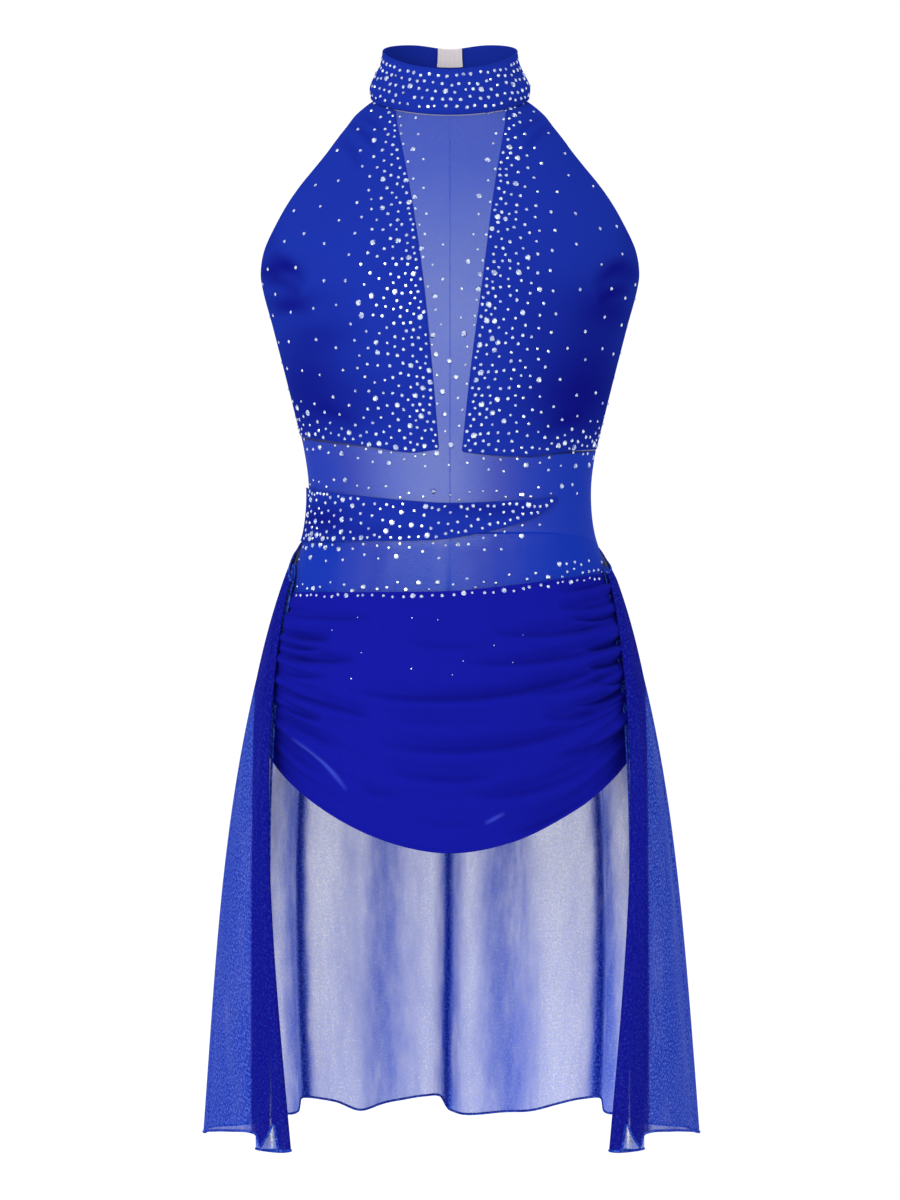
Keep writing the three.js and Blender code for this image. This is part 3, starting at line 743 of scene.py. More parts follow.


# %% [markdown]
# ## The halter fronts
#
# Two knit panels from the collar to under the bust, cut close at the V and rounded at the
# armholes. The edges are turned in and stitched, which leaves a soft roll along them. A few drag
# lines run from the neck and the underarm, as knit under tension has, and their troughs carry
# painted shade; more painted shade lies beside the underarm and over the ribs, where the cloth
# turns away from the light.

# %% Halter fronts
HALTER_CREASES = table(CREASE_NAMES, [
    (-149, -135, -118, -165, 3, 1.6, 6), (-151, -158, -122, -172, 3, 1.4, 5),
    (-146, -183, -112, -186, 3, 1.2, 6), (-83, -26, -60, -52, 2, 1.0, 4),
    (-75, -20, -54, -36, 1, 0.9, 3.5), (-92, -38, -74, -70, 3, 0.8, 5),
    (148, -140, 118, -168, -3, 1.4, 6), (149, -165, 120, -178, -3, 1.2, 5),
    (84, -27, 62, -54, -2, 0.9, 4), (76, -21, 56, -38, -1, 0.8, 3.5),
    (-112, -262, -70, -285, 3, 0.8, 7), (112, -270, 72, -290, -3, 0.8, 7),
])


# Patches of painted shade, where the knit turns away from the light.
HALTER_SHADES = table("x z half_x half_z depth", [
    (-118, -248, 34, 48, 0.75), (-147, -150, 18, 9, 0.8), (-134, -176, 30, 8, 0.5),
    (-100, -205, 30, 12, 0.25), (-70, -262, 34, 22, 0.3), (118, -240, 40, 62, 0.85),
    (146, -152, 18, 12, 0.6), (132, -182, 30, 18, 0.55), (84, -262, 34, 26, 0.4),
    (70, -200, 26, 50, 0.2), (-150, -118, 8, 26, 0.3), (150, -118, 8, 26, 0.35),
])


def soft_shade(x, z, rows):
    """Painted shade: sum over the table of depth times a bell of the distance, own half width each way."""
    shade = np.zeros(np.broadcast(x, z).shape)
    for cx, cz, half_x, half_z, depth in zip(*rows.values()):
        shade += depth * bell(x - cx, half_x) * bell(z - cz, half_z)
    return np.clip(shade, 0, 1)


def halter_grid(side, columns=90, rows=190):
    """The girths between the V seam and the armhole, moved out by the creases."""
    def inner(z):
        return angle_of(along(V_SEAM, "z", z, WORDS[side]) + side * SEAM / 2, z)

    def outer(z):
        return shifted(side * armhole(z, "front"), -side * SEAM, z)

    edges = (outer, inner) if side < 0 else (inner, outer)
    angle, z = panel(columns, rows, *edges, top_under_collar, lambda a: halter_hem(a) + SEAM / 2)
    grid = seated(angle, z)
    return lifted(grid, crease_height(grid[..., 0], grid[..., 2], HALTER_CREASES))


def make_halter(side):
    word = WORDS[side]
    grid = halter_grid(side)
    x, z = grid[..., 0], grid[..., 2]
    # Painted shade in the creases' troughs, added to the patches of painted shade.
    folds = np.clip(-0.35 * crease_height(x, z, HALTER_CREASES), 0, 0.6)
    shade = np.clip(soft_shade(x, z, HALTER_SHADES) + folds, 0, 1)
    front = sheet_object(f"front_{word}", grid, "knit", wall=KNIT, shade=shade)
    arm, seam = (0, -1) if side < 0 else (-1, 0)
    edges = runs_of(grid, (arm, z[arm] > ARMHOLE_FOOT), (seam,), LAST_ROW)
    rolls = hem_object(f"front_{word}_edges", edges, "knit", *KNIT_ROLL)
    return grid


halter = {side: make_halter(side) for side in (-1, 1)}

# %% [markdown]
# ## The mesh front
#
# One piece of power mesh makes the V inset and the waist. Its grid is a T on its head: the middle
# columns go up to the collar, and the side columns stop under the halter. It lies a little deeper
# in colour towards the sides, where one looks along the net and not through it, and more on the
# right than on the left, which is painted shade.

# %% Mesh front
# More layers on the right than on the left: painted shade.
MESH_PLIES = table("angle plies", [
    (-90, 3.3), (-56, 2.5), (-34, 1.8), (-16, 1.2), (0, 1.15), (16, 1.9), (34, 3.3), (56, 4.3), (90, 4.5),
])
INSET_PLIES = table("z plies", [
    (-16, 1.6), (-60, 1.5), (-128, 1.0), (-200, 1.0), (-250, 1.2), (-310, 1.35),
])
INSET_COLUMNS = 30
SIDE_COLUMNS = 80
INSET_ROWS = 150
WAIST_ROWS = 60
WAIST_HEIGHT = -305


def make_front_mesh():
    """The girths in one grid: V rows between the two seams, then waist rows from side to side."""
    columns = 2 * SIDE_COLUMNS + INSET_COLUMNS
    down = np.linspace(0, 1, INSET_ROWS + 1)[None]

    def waist_top(angle):
        return halter_hem(angle) - SEAM / 2

    def seam(word, inset):
        return lambda z: angle_of(along(V_SEAM, "z", z, word) + inset, z)

    left = edge_angle(seam("left", SEAM / 2), top_under_collar, waist_top, down)
    right = edge_angle(seam("right", -SEAM / 2), top_under_collar, waist_top, down)
    share = np.clip((np.arange(columns + 1)[:, None] - SIDE_COLUMNS) / INSET_COLUMNS, 0, 1)
    inset_angle = mix(left, right, share)
    inset_z = mix(top_under_collar(inset_angle), waist_top(inset_angle), down)
    outside = float(shifted(np.array(90.0), -SEAM, np.array(float(WAIST_HEIGHT))))
    foot_left, foot_right = left[0, -1], right[0, -1]
    waist_angle = np.concatenate([
        np.linspace(-outside, foot_left, SIDE_COLUMNS + 1)[:-1],
        np.linspace(foot_left, foot_right, INSET_COLUMNS + 1),
        np.linspace(foot_right, outside, SIDE_COLUMNS + 1)[1:],
    ])[:, None]
    waist_down = np.linspace(0, 1, WAIST_ROWS + 1)[None, 1:]
    waist_z = mix(waist_top(waist_angle), MESH_FOOT + SEAM / 2, waist_down)
    angle = np.concatenate([inset_angle, np.broadcast_to(waist_angle, waist_z.shape)], axis=1)
    grid = seated(angle, np.concatenate([inset_z, waist_z], axis=1))
    i, j = np.meshgrid(np.arange(columns), np.arange(INSET_ROWS + WAIST_ROWS), indexing="ij")
    keep = (j >= INSET_ROWS) | ((i >= SIDE_COLUMNS) & (i < SIDE_COLUMNS + INSET_COLUMNS))
    waist = ramp(grid[..., 2], -275, -300)
    inset = along(INSET_PLIES, "z", grid[..., 2], "plies")
    low_band = 0.45 * ramp(-grid[..., 2], 372, 384)
    plies = mix(inset, along(MESH_PLIES, "angle", angle, "plies"), waist) + low_band
    made = sheet_object("front_mesh", grid, "mesh_net", keep=keep, plies=plies)


make_front_mesh()

# %% [markdown]
# ## The sash
#
# A knit band laid over the mesh, wide at one side seam and tapering to a point before the other.
# It is a strip of the same girths moved out, with a few lengthwise tucks where it was stretched.

# %% Sash
SASH = table("angle top bottom", [
    (-89.5, -328.4, -373), (-56, -333.8, -374), (-33, -338.9, -374.1), (-7, -343.7, -373.6),
    (5.5, -344, -370.4), (21, -342.6, -363.3), (36, -340.5, -353.6), (47.5, -338.5, -341),
])
SASH_CREASES = table(CREASE_NAMES, [
    (-117, -345, -40, -352, -2, 0.9, 2.6), (-115, -358, -55, -362, -1, 0.8, 2.6),
    (-60, -348, 20, -356, -1, 0.7, 2.4), (-20, -364, 50, -352, 2, 0.7, 2.4),
])


# Patches of painted shade on the sash, darkest at its left end.
SASH_SHADES = table("x z half_x half_z depth", [
    (-108, -356, 26, 12, 0.8), (-60, -368, 40, 6, 0.35), (40, -350, 40, 6, 0.35), (0, -346, 60, 4, 0.3),
])


def sash_edges(angle):
    return along(SASH, "angle", angle, "top"), along(SASH, "angle", angle, "bottom")


def sash_grid(columns=170, rows=30):
    """The girths between the sash's two edges, moved out to lie on the mesh."""
    angle = np.linspace(SASH["angle"][0], SASH["angle"][-1], columns)[:, None]
    down = np.linspace(0, 1, rows)[None]
    z = mix(*sash_edges(angle), down)
    grid = girth(angle, z)
    seat = SHEER / 2 + LAP + KNIT / 2
    return lifted(grid, seat + crease_height(grid[..., 0], grid[..., 2], SASH_CREASES) * 0.6)


def make_sash():
    grid = sash_grid()
    # The shade attribute carries the painted shade.
    shade = soft_shade(grid[..., 0], grid[..., 2], SASH_SHADES)
    band = sheet_object("sash", grid, "knit", wall=KNIT, shade=shade)
    rolls = hem_object("sash_edges", runs_of(grid, FIRST_ROW, LAST_ROW), "knit", *KNIT_ROLL)


make_sash()

# %% [markdown]
# ## The back
#
# Two mesh halves meet in a seam at the centre back, which shows through the V as a fine line. The
# real back isn't seen, so it is kept plain. Its armholes are bound with knit, because a raw net
# edge would fray and stretch.

# %% Mesh back
def make_back(side):
    """The girths between the centre back and the armhole, with more layers towards the side."""
    word = WORDS[side]

    def arm(z):
        return shifted(side * (180 - armhole(z, "back")), side * SEAM, z)

    def centre(z):
        return side * (180 - np.degrees(SEAM / 2 / side_at(z)))

    edges = (centre, arm) if side < 0 else (arm, centre)
    angle, z = panel(90, 220, *edges, top_under_collar, level(MESH_FOOT + SEAM / 2))
    grid = seated(angle, z)
    round_the_side = 1.2 * ramp(180 - np.abs(angle), 20, 85)
    plies = 1 + round_the_side + 0.5 * ramp(z, -210, -60) - 0.2 * ramp(-z, 355, 370)
    made = sheet_object(f"back_{word}", grid, "mesh_net", plies=plies)
    arm_edge, mid_edge = (-1, 0) if side < 0 else (0, -1)
    armhole_edge, middle = runs_of(grid, (arm_edge, grid[arm_edge, :, 2] > ARMHOLE_FOOT), (mid_edge,))
    binding = hem_object(f"back_{word}_binding", [armhole_edge], "knit", 4.0, 1.9)
    seam = hem_object(f"back_{word}_seam", [middle], "mesh_net", 0.9, 0.8, sides=8, plies=0.3)


for half in (-1, 1):
    make_back(half)

# %% [markdown]
# ## The brief
#
# Hidden behind the drape, so it is plain: a front and a back that follow the hips, narrow along the
# leg cut and meet under the body. Below the hip line the depth shrinks by a cosine and the
# height drops by a sine, which closes the brief in a quarter round.

# %% Brief
HIP_LINE = -500
CROTCH_DROP = 107
LEG_START = 18
BRIEF = table("row z under front back", [
    (0, -424.3, 0, 200, 200), (1, -440, 0, 200, 200), (2, -455, 0, 146, 200), (3, -475, 0, 128, 146),
    (4, HIP_LINE, 0, 104, 137), (5, HIP_LINE, 15, 82, 126), (6, HIP_LINE, 30, 62, 106),
    (7, HIP_LINE, 45, 49, 86), (8, HIP_LINE, 60, 41, 66), (9, HIP_LINE, 75, 37, 47),
    (10, HIP_LINE, 90, 35, 37),
])


def make_brief(facing):
    """Half ellipses on the hips; under the hip line depth is times cos and height is less drop sin."""
    word = "front" if facing < 0 else "back"
    row = np.linspace(0, 10, 90)[None]
    across = np.linspace(-1, 1, 100)[:, None]
    line = np.interp(row, BRIEF["row"], BRIEF["z"])
    under = np.radians(np.interp(row, BRIEF["row"], BRIEF["under"]))
    half = np.interp(row, BRIEF["row"], BRIEF[word])
    side = side_at(line)
    depth = np.maximum(along(GIRTHS, "z", line, word) * np.cos(under), SEAM / 2)
    reach = np.arcsin(np.minimum((side - SEAM) / side, half / side))
    turn = across * reach * -facing
    grid = stack(side * np.sin(turn), facing * depth * np.cos(turn), line - CROTCH_DROP * np.sin(under))
    made = sheet_object(f"brief_{word}", grid, "knit", wall=KNIT)
    edges = runs_of(grid, np.s_[0, LEG_START:], np.s_[-1, LEG_START:])
    legs = hem_object(f"brief_{word}_legs", edges, "knit", 6.0, 2.0)


for facing_side in (-1, 1):
    make_brief(facing_side)

# %% [markdown]
# ## The ruched drape
#
# Chiffon laid double over the front of the hips and gathered into both side edges, so it falls in
# U-shaped folds that are tight at the sides and wide in the middle. The surface puffs out from the
# brief; the big folds are in the crease table, and finer pleats run along lines of equal height,
# strongest where the cloth is gathered. The folds' troughs get painted shade in their colour, and
# two raised ridges get a painted highlight.

# %% Drape
DRAPE_SIDES = table("down left right", [
    (0, -130, 126), (0.14, -136, 140), (0.3, -141, 146), (0.6, -149, 154), (1, -150, 151),
])
DRAPE_TOP = table("x z", [(-130, -417.5), (0, -416.7), (36, -413.5), (70, -409.5), (127, -402)])
DRAPE_HEM = {"side": -546, "sag": 79.5, "half": 150, "square": 1.8, "round": 0.78}
DRAPE_PUFF = table("down out", [(0, 0), (0.12, 5), (0.4, 8), (0.8, 8), (1, 5)])
DRAPE_CREASES = table(CREASE_NAMES, [
    (-136, -450, -97, -453, -2, 5.0, 4.0), (-140, -469, -75, -470, -2, 5.0, 4.5),
    (-142, -496, -65, -516, -1, 5.0, 4.5), (33, -448, 148, -438, -6, 4.0, 4.5),
    (11, -472, 150, -455, -7, 4.0, 4.5), (-84, -495, 150, -468, -18, 5.5, 5.0),
    (66, -499, 154, -474, -5, 3.6, 4.5), (74, -517, 155, -495, -9, 3.6, 4.5),
    (-58, -538, 154, -505, -18, 5.0, 5.5), (-51, -559, 46, -562, -6, 3.2, 5.0),
    (15, -580, 120, -557, -8, 4.0, 5.5), (-73, -573, -39, -581, -2, 2.4, 4.5),
    (45, -613, 112, -582, -5, 3.4, 5.0), (-136, -435, -63, -435, -2, 2.4, 4.0),
    (-143, -481, -97, -484, -2, 3.0, 3.6), (-146, -517, -91, -542, 0, 3.2, 5.0),
    (-146, -534, -107, -565, 0, 2.4, 5.0), (154, -523, 89, -549, 4, 3.6, 5.0),
    (89, -428, 142, -421, -4, 3.4, 3.6), (89, -414, 136, -405, -3, 3.0, 3.2),
    (109, -461, 150, -452, -5, 3.4, 3.2), (-41, -455, 41, -457, -3, 2.0, 5.0),
    (100, -437, 146, -431, -4, 4.4, 2.8), (112, -476, 152, -466, -5, 4.4, 2.8),
    (118, -491, 154, -484, -4, 4.0, 2.8), (104, -508, 154, -490, -5, 4.0, 3.0),
    (-141, -458, -104, -462, -2, 4.2, 2.8), (-146, -506, -104, -520, -2, 4.0, 3.0),
    (-49, -517, 41, -520, -3, 2.0, 6.0), (-32, -599, 34, -601, -4, 1.8, 6.0),
])
# Two raised ridges that also get a painted highlight in the drape's colour.
DRAPE_LIGHTS = table(CREASE_NAMES, [
    (-129, -535, -83, -577, 3, -0.8, 1.5), (28, -603, 44, -594, 0, -0.7, 1.3),
])


def pleat_fields(x, z, rows):
    """Height and painted shade of gathered folds: each falls sharply on its lower side and softly above.

    height = depth (0.45 lip - trough) and shade = (0.44 line + 0.13 trough) depth / 5, all faded.
    """
    height = np.zeros(np.broadcast(x, z).shape)
    shade = np.zeros_like(height)
    for off, fade, depth, width in crease_lines(x, z, rows):
        trough = np.where(off < 0, bell(off, 0.5 * width), bell(off, 1.9 * width))
        line = np.where(off < 0, bell(off, 0.9), bell(off, 2.2))
        lip = bell(off + 1.5 * width, 1.1 * width)
        height += fade * depth * (0.45 * lip - trough)
        shade += fade * (0.44 * line + 0.13 * trough) * depth / 5
    return height, shade


def ruche_pleats(x, z, down):
    """Fine pleats along lines of equal height: two uneven sines of down, stronger towards the sides."""
    side = np.abs(x) / 147
    strength = 0.18 + 1.3 * side**3
    broad = np.sin(2 * np.pi * (8.3 * down + 0.16 * np.sin(x / 31) + 0.1 * np.sin(x / 13 + 2)))
    narrow = np.sin(2 * np.pi * (15.7 * down + 0.21 * np.sin(x / 23 + 1)) + 1.3)
    fine = np.sin(2 * np.pi * (31 * down + 0.3 * np.sin(x / 17)) + x / 60)
    fade = ramp(down, 0.0, 0.06) * (1 - 0.6 * ramp(down, 0.8, 1.0))
    return strength * (broad + 0.55 * narrow + 0.2 * fine * side) * fade


def drape_hem(x):
    """The hem's height: side - sag (1 - |x / half|^square)^round, a full U."""
    across = np.clip(np.abs(x) / DRAPE_HEM["half"], 0, 1)
    return DRAPE_HEM["side"] - DRAPE_HEM["sag"] * (1 - across ** DRAPE_HEM["square"]) ** DRAPE_HEM["round"]


def drape_surface(columns=300, rows=260):
    """The hips' half ellipse moved out by a puff, y = -depth sqrt(1 - (x / reach)^2), plus its folds."""
    down = np.linspace(0, 1, rows)[None]
    across = np.linspace(0, 1, columns)[:, None]
    even = (1 - np.cos(np.pi * across)) / 4 + across / 2
    x = mix(along(DRAPE_SIDES, "down", down, "left"), along(DRAPE_SIDES, "down", down, "right"), even)
    z = mix(along(DRAPE_TOP, "x", x, "z"), drape_hem(x), down)
    puff = along(DRAPE_PUFF, "down", down, "out")
    seat = SHEER / 2 + LAP + SHEER / 2
    reach = side_at(z) + seat + puff
    y = -(along(GIRTHS, "z", z, "front") + seat + puff) * np.sqrt(1 - (x / reach) ** 2)
    folds, shade = pleat_fields(x, z, DRAPE_CREASES)
    pleats = ruche_pleats(x, z, down)
    height = np.maximum(folds + pleats, -puff)
    light = np.maximum(crease_height(x, z, DRAPE_LIGHTS), 0)
    # The shade returned is painted shade in the troughs of the folds and pleats.
    return lifted(stack(x, y, z), height + light), shade + 0.10 * ramp(-pleats, 0.0, 2.0), light


# %% Ruched chiffon and the drape itself
RUCHED_BLUE = (0.0055, 0.0072, 0.245, 1)
RUCHED_DEEP = (0.0035, 0.0036, 0.135, 1)
RUCHED_LIT = (0.050, 0.080, 0.560, 1)


def make_ruched():
    material, g, shader, cloth = start_material("ruched_chiffon", 0.75, 0.05, (0.2, 0.28, 1.0))
    crepe = use(g, CREPE, Cloth=cloth)
    cloud = g.times(g.minus(crepe.outputs["Cloud"], 0.5), 0.35)
    # Painted shade in the fold troughs darkens the colour, mixed with slow crepe clouds that vary its tone.
    shade_and_cloud = g.plus(g.attribute("valley"), cloud, clamp=True)
    colour = g.blend(shade_and_cloud, RUCHED_BLUE, RUCHED_DEEP)
    # Painted highlight along the two ridges.
    g.link(g.blend(g.attribute("ridge"), colour, RUCHED_LIT), shader.inputs["Base Color"])
    bump(g, shader, crepe.outputs["Grain"], 0.0002, 0.45)
    return material


FINISHES["ruched_chiffon"] = make_ruched()
drape, drape_shade, drape_light = drape_surface()


def make_drape():
    # Painted shade in the troughs and a painted highlight on two ridges, as point attributes.
    shade, ridge = np.clip(drape_shade, 0, 1), np.clip(0.7 * drape_light, 0, 1)
    made = sheet_object("front_drape", drape, "ruched_chiffon", wall=SHEER, valley=shade, ridge=ridge)
    edges = runs_of(drape, LAST_ROW, FIRST_ROW)
    rolls = hem_object("front_drape_edges", edges, "ruched_chiffon", 3.0, 2.6)


make_drape()

# %% [markdown]
# ## The skirt
#
# A wide piece of chiffon, gathered into a seam round the hips, long at the sides and back and open
# in front, where each edge folds back on itself in a soft roll. Its plan is a table of stations from
# the free edge to the centre back: where each hangs from the hip and where it reaches the hem. A
# point goes from one to the other by a flare, quick below the seam and then straight, as cloth
# falls. The folds grow downwards as bell curves of the angle round the hem, and each adds layers of
# cloth in a narrow core and a wider halo. The hem rises and dips with them.

# %% Skirt plan
SKIRT_PLAN = table("step angle off x y roll", [
    (0, 73, 2.2, 140, -97, 0.6), (1, 76, 2.2, 150, -96, 0.5), (2, 78.5, 3.2, 158, -99, 0.5),
    (3, 76, 4.4, 147, -105, 0.7), (4, 73.5, 4.5, 135, -110, 1), (5, 71.3, 5.4, 128, -115.5, 1),
    (6, 73.5, 6.8, 137, -118, 1), (7, 77, 6.8, 154, -110, 0.9), (8, 83, 4.5, 180, -82, 0.5),
    (9, 90, 2.3, 201, -36, 0), (10, 103, 2.2, 206, 12, 0), (11, 118, 2.2, 196, 62, 0),
    (12, 133, 2.2, 168, 104, 0), (13, 150, 2.2, 125, 131, 0), (14, 168, 2.2, 48, 145, 0),
    (15, 180, 2.2, 0, 148, 0),
])
SKIRT_SEAM = table("angle z", [
    (-180, -364), (-115, -366), (-84, -384), (-66, -412), (66, -401), (84, -392), (115, -369), (180, -364),
])
SKIRT_HEM_Z = -867
SKIRT_ROLL_OUT = 18
FLARE = {"early": 0.6, "power": 3.6}
SKIRT_FOLDS = table("angle lean depth width core halo shift reach", [
    (-100, 0, 5, 8, 0.0, 0.3, 0, 12), (-74, -4, 7, 6, 0.0, 0.3, 0, 9),
    (-41.5, -12, 16, 3.4, 4.8, 2.0, -3.6, 3.8), (-23, -3, 7, 5, 0.1, 1.3, 1, 7.2),
    (-0.8, 0, 17, 3.6, 4.8, 1.5, 0, 3.9), (19.5, 3, 8, 5, 0.1, 1.4, -1, 7.2),
    (41.5, 12, 16, 3.4, 4.8, 2.0, 3.6, 3.8), (72, 4, 6, 6, 0.0, 0.3, 0, 9),
    (98, 0, 6, 8, 0.0, 0.3, 0, 12),
])
FOLD_FADE = 40
SIDE_SPLIT = 86
ROLL_EDGE = 161
ROLL_PLIES = 3.0
ROLL_DYE = 0.85
SLIT = {"x": 145, "half": 1.2}
GATHER_HEIGHT = 0.7
FLUTTER_HEIGHT = 1.1
LAST_STEP = 15
SIDE_STEP = 9
SKIRT_PITCH = 2.2
SKIRT_ROWS = 110
OUTER_PART = (0.62, 1.38)
LAYERS_ROUND = table("step plies dye", [
    (0, 1.2, 0.1), (4.2, 1.2, 0.1), (4.7, 2.4, 0.55), (8, 2.4, 0.6), (11.7, 1.9, 0.5),
    (12.3, 1.1, 0.03), (12.8, 1.0, 0.0), (15, 1.0, 0.0),
])
HEM_LIFT = table("step z", [
    (0, -2), (1, -3), (2, -1), (3, -2), (4, -2), (5, 0), (6, 0), (6.15, 3), (6.38, 21), (6.6, 14),
    (6.85, 6), (7, 2), (7.15, 12), (8, 11), (9, 4), (10, -4), (11, -7), (12, -9), (12.6, -2),
    (13, 0), (15, 0),
])
HEM_WAVE = table("x z", [
    (-150, -3), (-131, -3), (-125, 6), (-101, 4.4), (-77, -4.4), (-48, 3.5), (-22, 8), (-8, 6), (0, -7),
    (44, -7), (72, -4.4), (97, 2.6), (110, 6), (124, 6), (130, -3), (150, -3),
])


def wave(angle, turns, phase=0):
    return np.sin(np.radians(angle * turns + phase))


def skirt_surface(place, down):
    """Points, layers, dye and angles of the skirt at places 0 to 2 along its plan and down 0 to 1.

    A point is mix(seam, hem, flare), moved out by the sum of the folds, depth bell(away, width).
    """
    side = np.where(place < 1, -1.0, 1.0)
    step = np.where(place < 1, place, 2 - place) * LAST_STEP
    columns = (along(SKIRT_PLAN, "step", step, name) for name in "angle off x y roll".split())
    angle, off, hem_x, hem_y, roll = columns
    seam_z = along(SKIRT_SEAM, "angle", side * angle, "z")
    top = girth(side * angle, seam_z)
    outwards = unit(top[..., :2])
    flare = FLARE["early"] * (1 - (1 - down) ** FLARE["power"]) + (1 - FLARE["early"]) * down
    roll_out = roll * SKIRT_ROLL_OUT * np.sin(np.pi * down**0.75) * side
    x = mix(top[..., 0] + outwards[..., 0] * off, side * hem_x, flare) + roll_out
    y = mix(top[..., 1] + outwards[..., 1] * off, hem_y, flare)
    around = np.degrees(np.arctan2(x, y))
    behind = np.clip(1 + y / FOLD_FADE, 0, 1) * (roll <= 0)
    grow = np.clip(0.1 + 0.9 * down**0.7, 0, 1) * np.clip(down * 12, 0, 1)
    ripple, dyed = 0.0, 0.0
    gathered = mix(1.6, -0.3, ramp(step, 11.0, 12.5)) * (1 - ramp(down, 0.01, 0.16))
    for centre, lean, depth, width, core, halo, shift, reach in zip(*SKIRT_FOLDS.values()):
        away = around - centre - lean * (1 - down) - 0.4 * np.sin(down * 5 + centre)
        ripple = ripple + depth * bell(away, width)
        sharp = bell(away, 0.31 * width)
        grown = ramp(down, 0.02, 0.3) * (behind > 0)
        gathered = gathered + (core * sharp + halo * bell(away - shift, reach)) * grown
        dyed = dyed + min(core, 1.0) * 0.85 * sharp * grown
    gathers = np.sin(np.radians(angle * 31) + side) + 0.6 * wave(angle, 53, 40)
    gathers = GATHER_HEIGHT * gathers * ramp(down, 0.0, 0.03) * (1 - ramp(down, 0.08, 0.4))
    flutter = FLUTTER_HEIGHT * wave(around, 9, 30) * ramp(down, 0.55, 1.0) * behind
    out = behind * ripple * grow + gathers * (roll <= 0.9) + flutter
    radius = np.hypot(x, y)
    rise = along(HEM_WAVE, "x", x, "z") * ramp(step, 12.2, 12.8) + along(HEM_LIFT, "step", step, "z")
    z = mix(seam_z, SKIRT_HEM_Z + rise, down)
    grid = stack(x * (1 + out / radius), y * (1 + out / radius), z + 0 * x)
    streak = 0.10 * wave(around, 17) + 0.08 * wave(around, 29, 50)
    slit = bell(np.abs(x) - SLIT["x"], SLIT["half"]) * ramp(down, 0.78, 0.95) * (step < SIDE_STEP)
    rolled = (1 - ramp(np.abs(x), ROLL_EDGE - 1.5, ROLL_EDGE + 1.5)) * ramp(step, 4.4, 4.8)
    rolled = rolled * (step < SIDE_STEP)
    plies = along(LAYERS_ROUND, "step", step, "plies") + gathered + streak + ROLL_PLIES * rolled
    dye = np.clip(along(LAYERS_ROUND, "step", step, "dye") + dyed + ROLL_DYE * rolled, 0, 1)
    return grid, np.broadcast_to(plies * (1 - 0.85 * slit), x.shape), np.broadcast_to(dye, x.shape), around


# %% The skirt's three sheets
def skirt_places(first, last, step):
    """Places spread evenly along the hem between two angles from the centre back, ends included."""
    fine = np.linspace(0, 2, 9001)
    hem, _, _, around = skirt_surface(fine[:, None], np.ones((1, 1)))
    outer = (fine > OUTER_PART[0]) & (fine < OUTER_PART[1])
    low = 0.0 if first is None else np.interp(first, around[outer, 0], fine[outer])
    high = 2.0 if last is None else np.interp(last, around[outer, 0], fine[outer])
    length = np.concatenate([[0], np.linalg.norm(np.diff(hem[:, 0], axis=0), axis=-1).cumsum()])
    start, end = np.interp((low, high), fine, length)
    count = int((end - start) / step) + 1
    return np.interp(np.linspace(start, end, count), length, fine), (end - start) * MM


def make_skirt(word, first, last):
    """One sheet between two angles of the hem, its rows a little closer at the seam."""
    places, hem_length = skirt_places(first, last, SKIRT_PITCH)
    down = np.linspace(0, 1, SKIRT_ROWS)[None] ** 1.1
    grid, plies, dye, _ = skirt_surface(places[:, None], down)
    made = sheet_object(f"skirt_{word}", grid, "chiffon", plies=plies, dye=dye)
    free = [(0,)] * (first is None) + [(-1,)] * (last is None)
    runs = runs_of(grid, LAST_ROW, FIRST_ROW, *free)
    hems = hem_object(f"skirt_{word}_hem", runs, "chiffon", 2.1, 1.6, sides=8, dye=0.6)


make_skirt("left", None, -SIDE_SPLIT)
make_skirt("back", -SIDE_SPLIT, SIDE_SPLIT)
make_skirt("right", SIDE_SPLIT, None)

# %% [markdown]
# ## The stones
#
# Flat-backed crystals are glued on by hand: close together beside the V and along every edge, then
# thinner and thinner towards the armholes. They are thrown like darts on the panel's own grid, and
# a dart stays only if it is further from all the others than the spacing wanted there. One stone is
# a table, a crown of eight facets, a thin girdle and a flat back, 44 triangles in all, and a panel's
# stones are one mesh.

# %% Stones
FACETS = 8
STONE_RINGS = ((0.0, 1.0), (0.10, 1.0), (0.52, 0.56))
# Each facet is mixed from these by a random tint: painted reflections.
CRYSTAL_DARK = (0.03, 0.08, 0.42, 1)
CRYSTAL_GLINT = (0.82, 0.90, 1.0, 1)


def stone_template():
    """Points (unit radius) and triangles: a girdle of two rings, a crown and a flat table."""
    turn = np.linspace(0, 2 * np.pi, FACETS, endpoint=False)
    rings = [np.stack([r * np.cos(turn), r * np.sin(turn), np.full(FACETS, h)], -1) for h, r in STONE_RINGS]
    points = np.concatenate(rings)
    k = np.arange(FACETS)
    after = (k + 1) % FACETS
    faces = []
    for ring in range(len(STONE_RINGS) - 1):
        low, high = ring * FACETS, (ring + 1) * FACETS
        faces.append(np.stack([low + k, low + after, high + after], -1))
        faces.append(np.stack([low + k, high + after, high + k], -1))
    top = (len(STONE_RINGS) - 1) * FACETS
    fan = np.arange(1, FACETS - 1)
    faces.append(np.stack([np.full(FACETS - 2, top), top + fan, top + fan + 1], -1))
    faces.append(np.stack([np.zeros(FACETS - 2, int), fan + 1, fan], -1))
    return points, np.concatenate(faces)


def make_crystal():
    material, g, shader, _ = start_material("crystal", 0.12)
    g.link(g.blend(g.attribute("tint"), CRYSTAL_DARK, CRYSTAL_GLINT), shader.inputs["Base Color"])
    g.settle(shader, Metallic=0.9, Specular_IOR_Level=0.5, Coat_Weight=0.35, Coat_Roughness=0.03)
    return material


FINISHES["crystal"] = make_crystal()


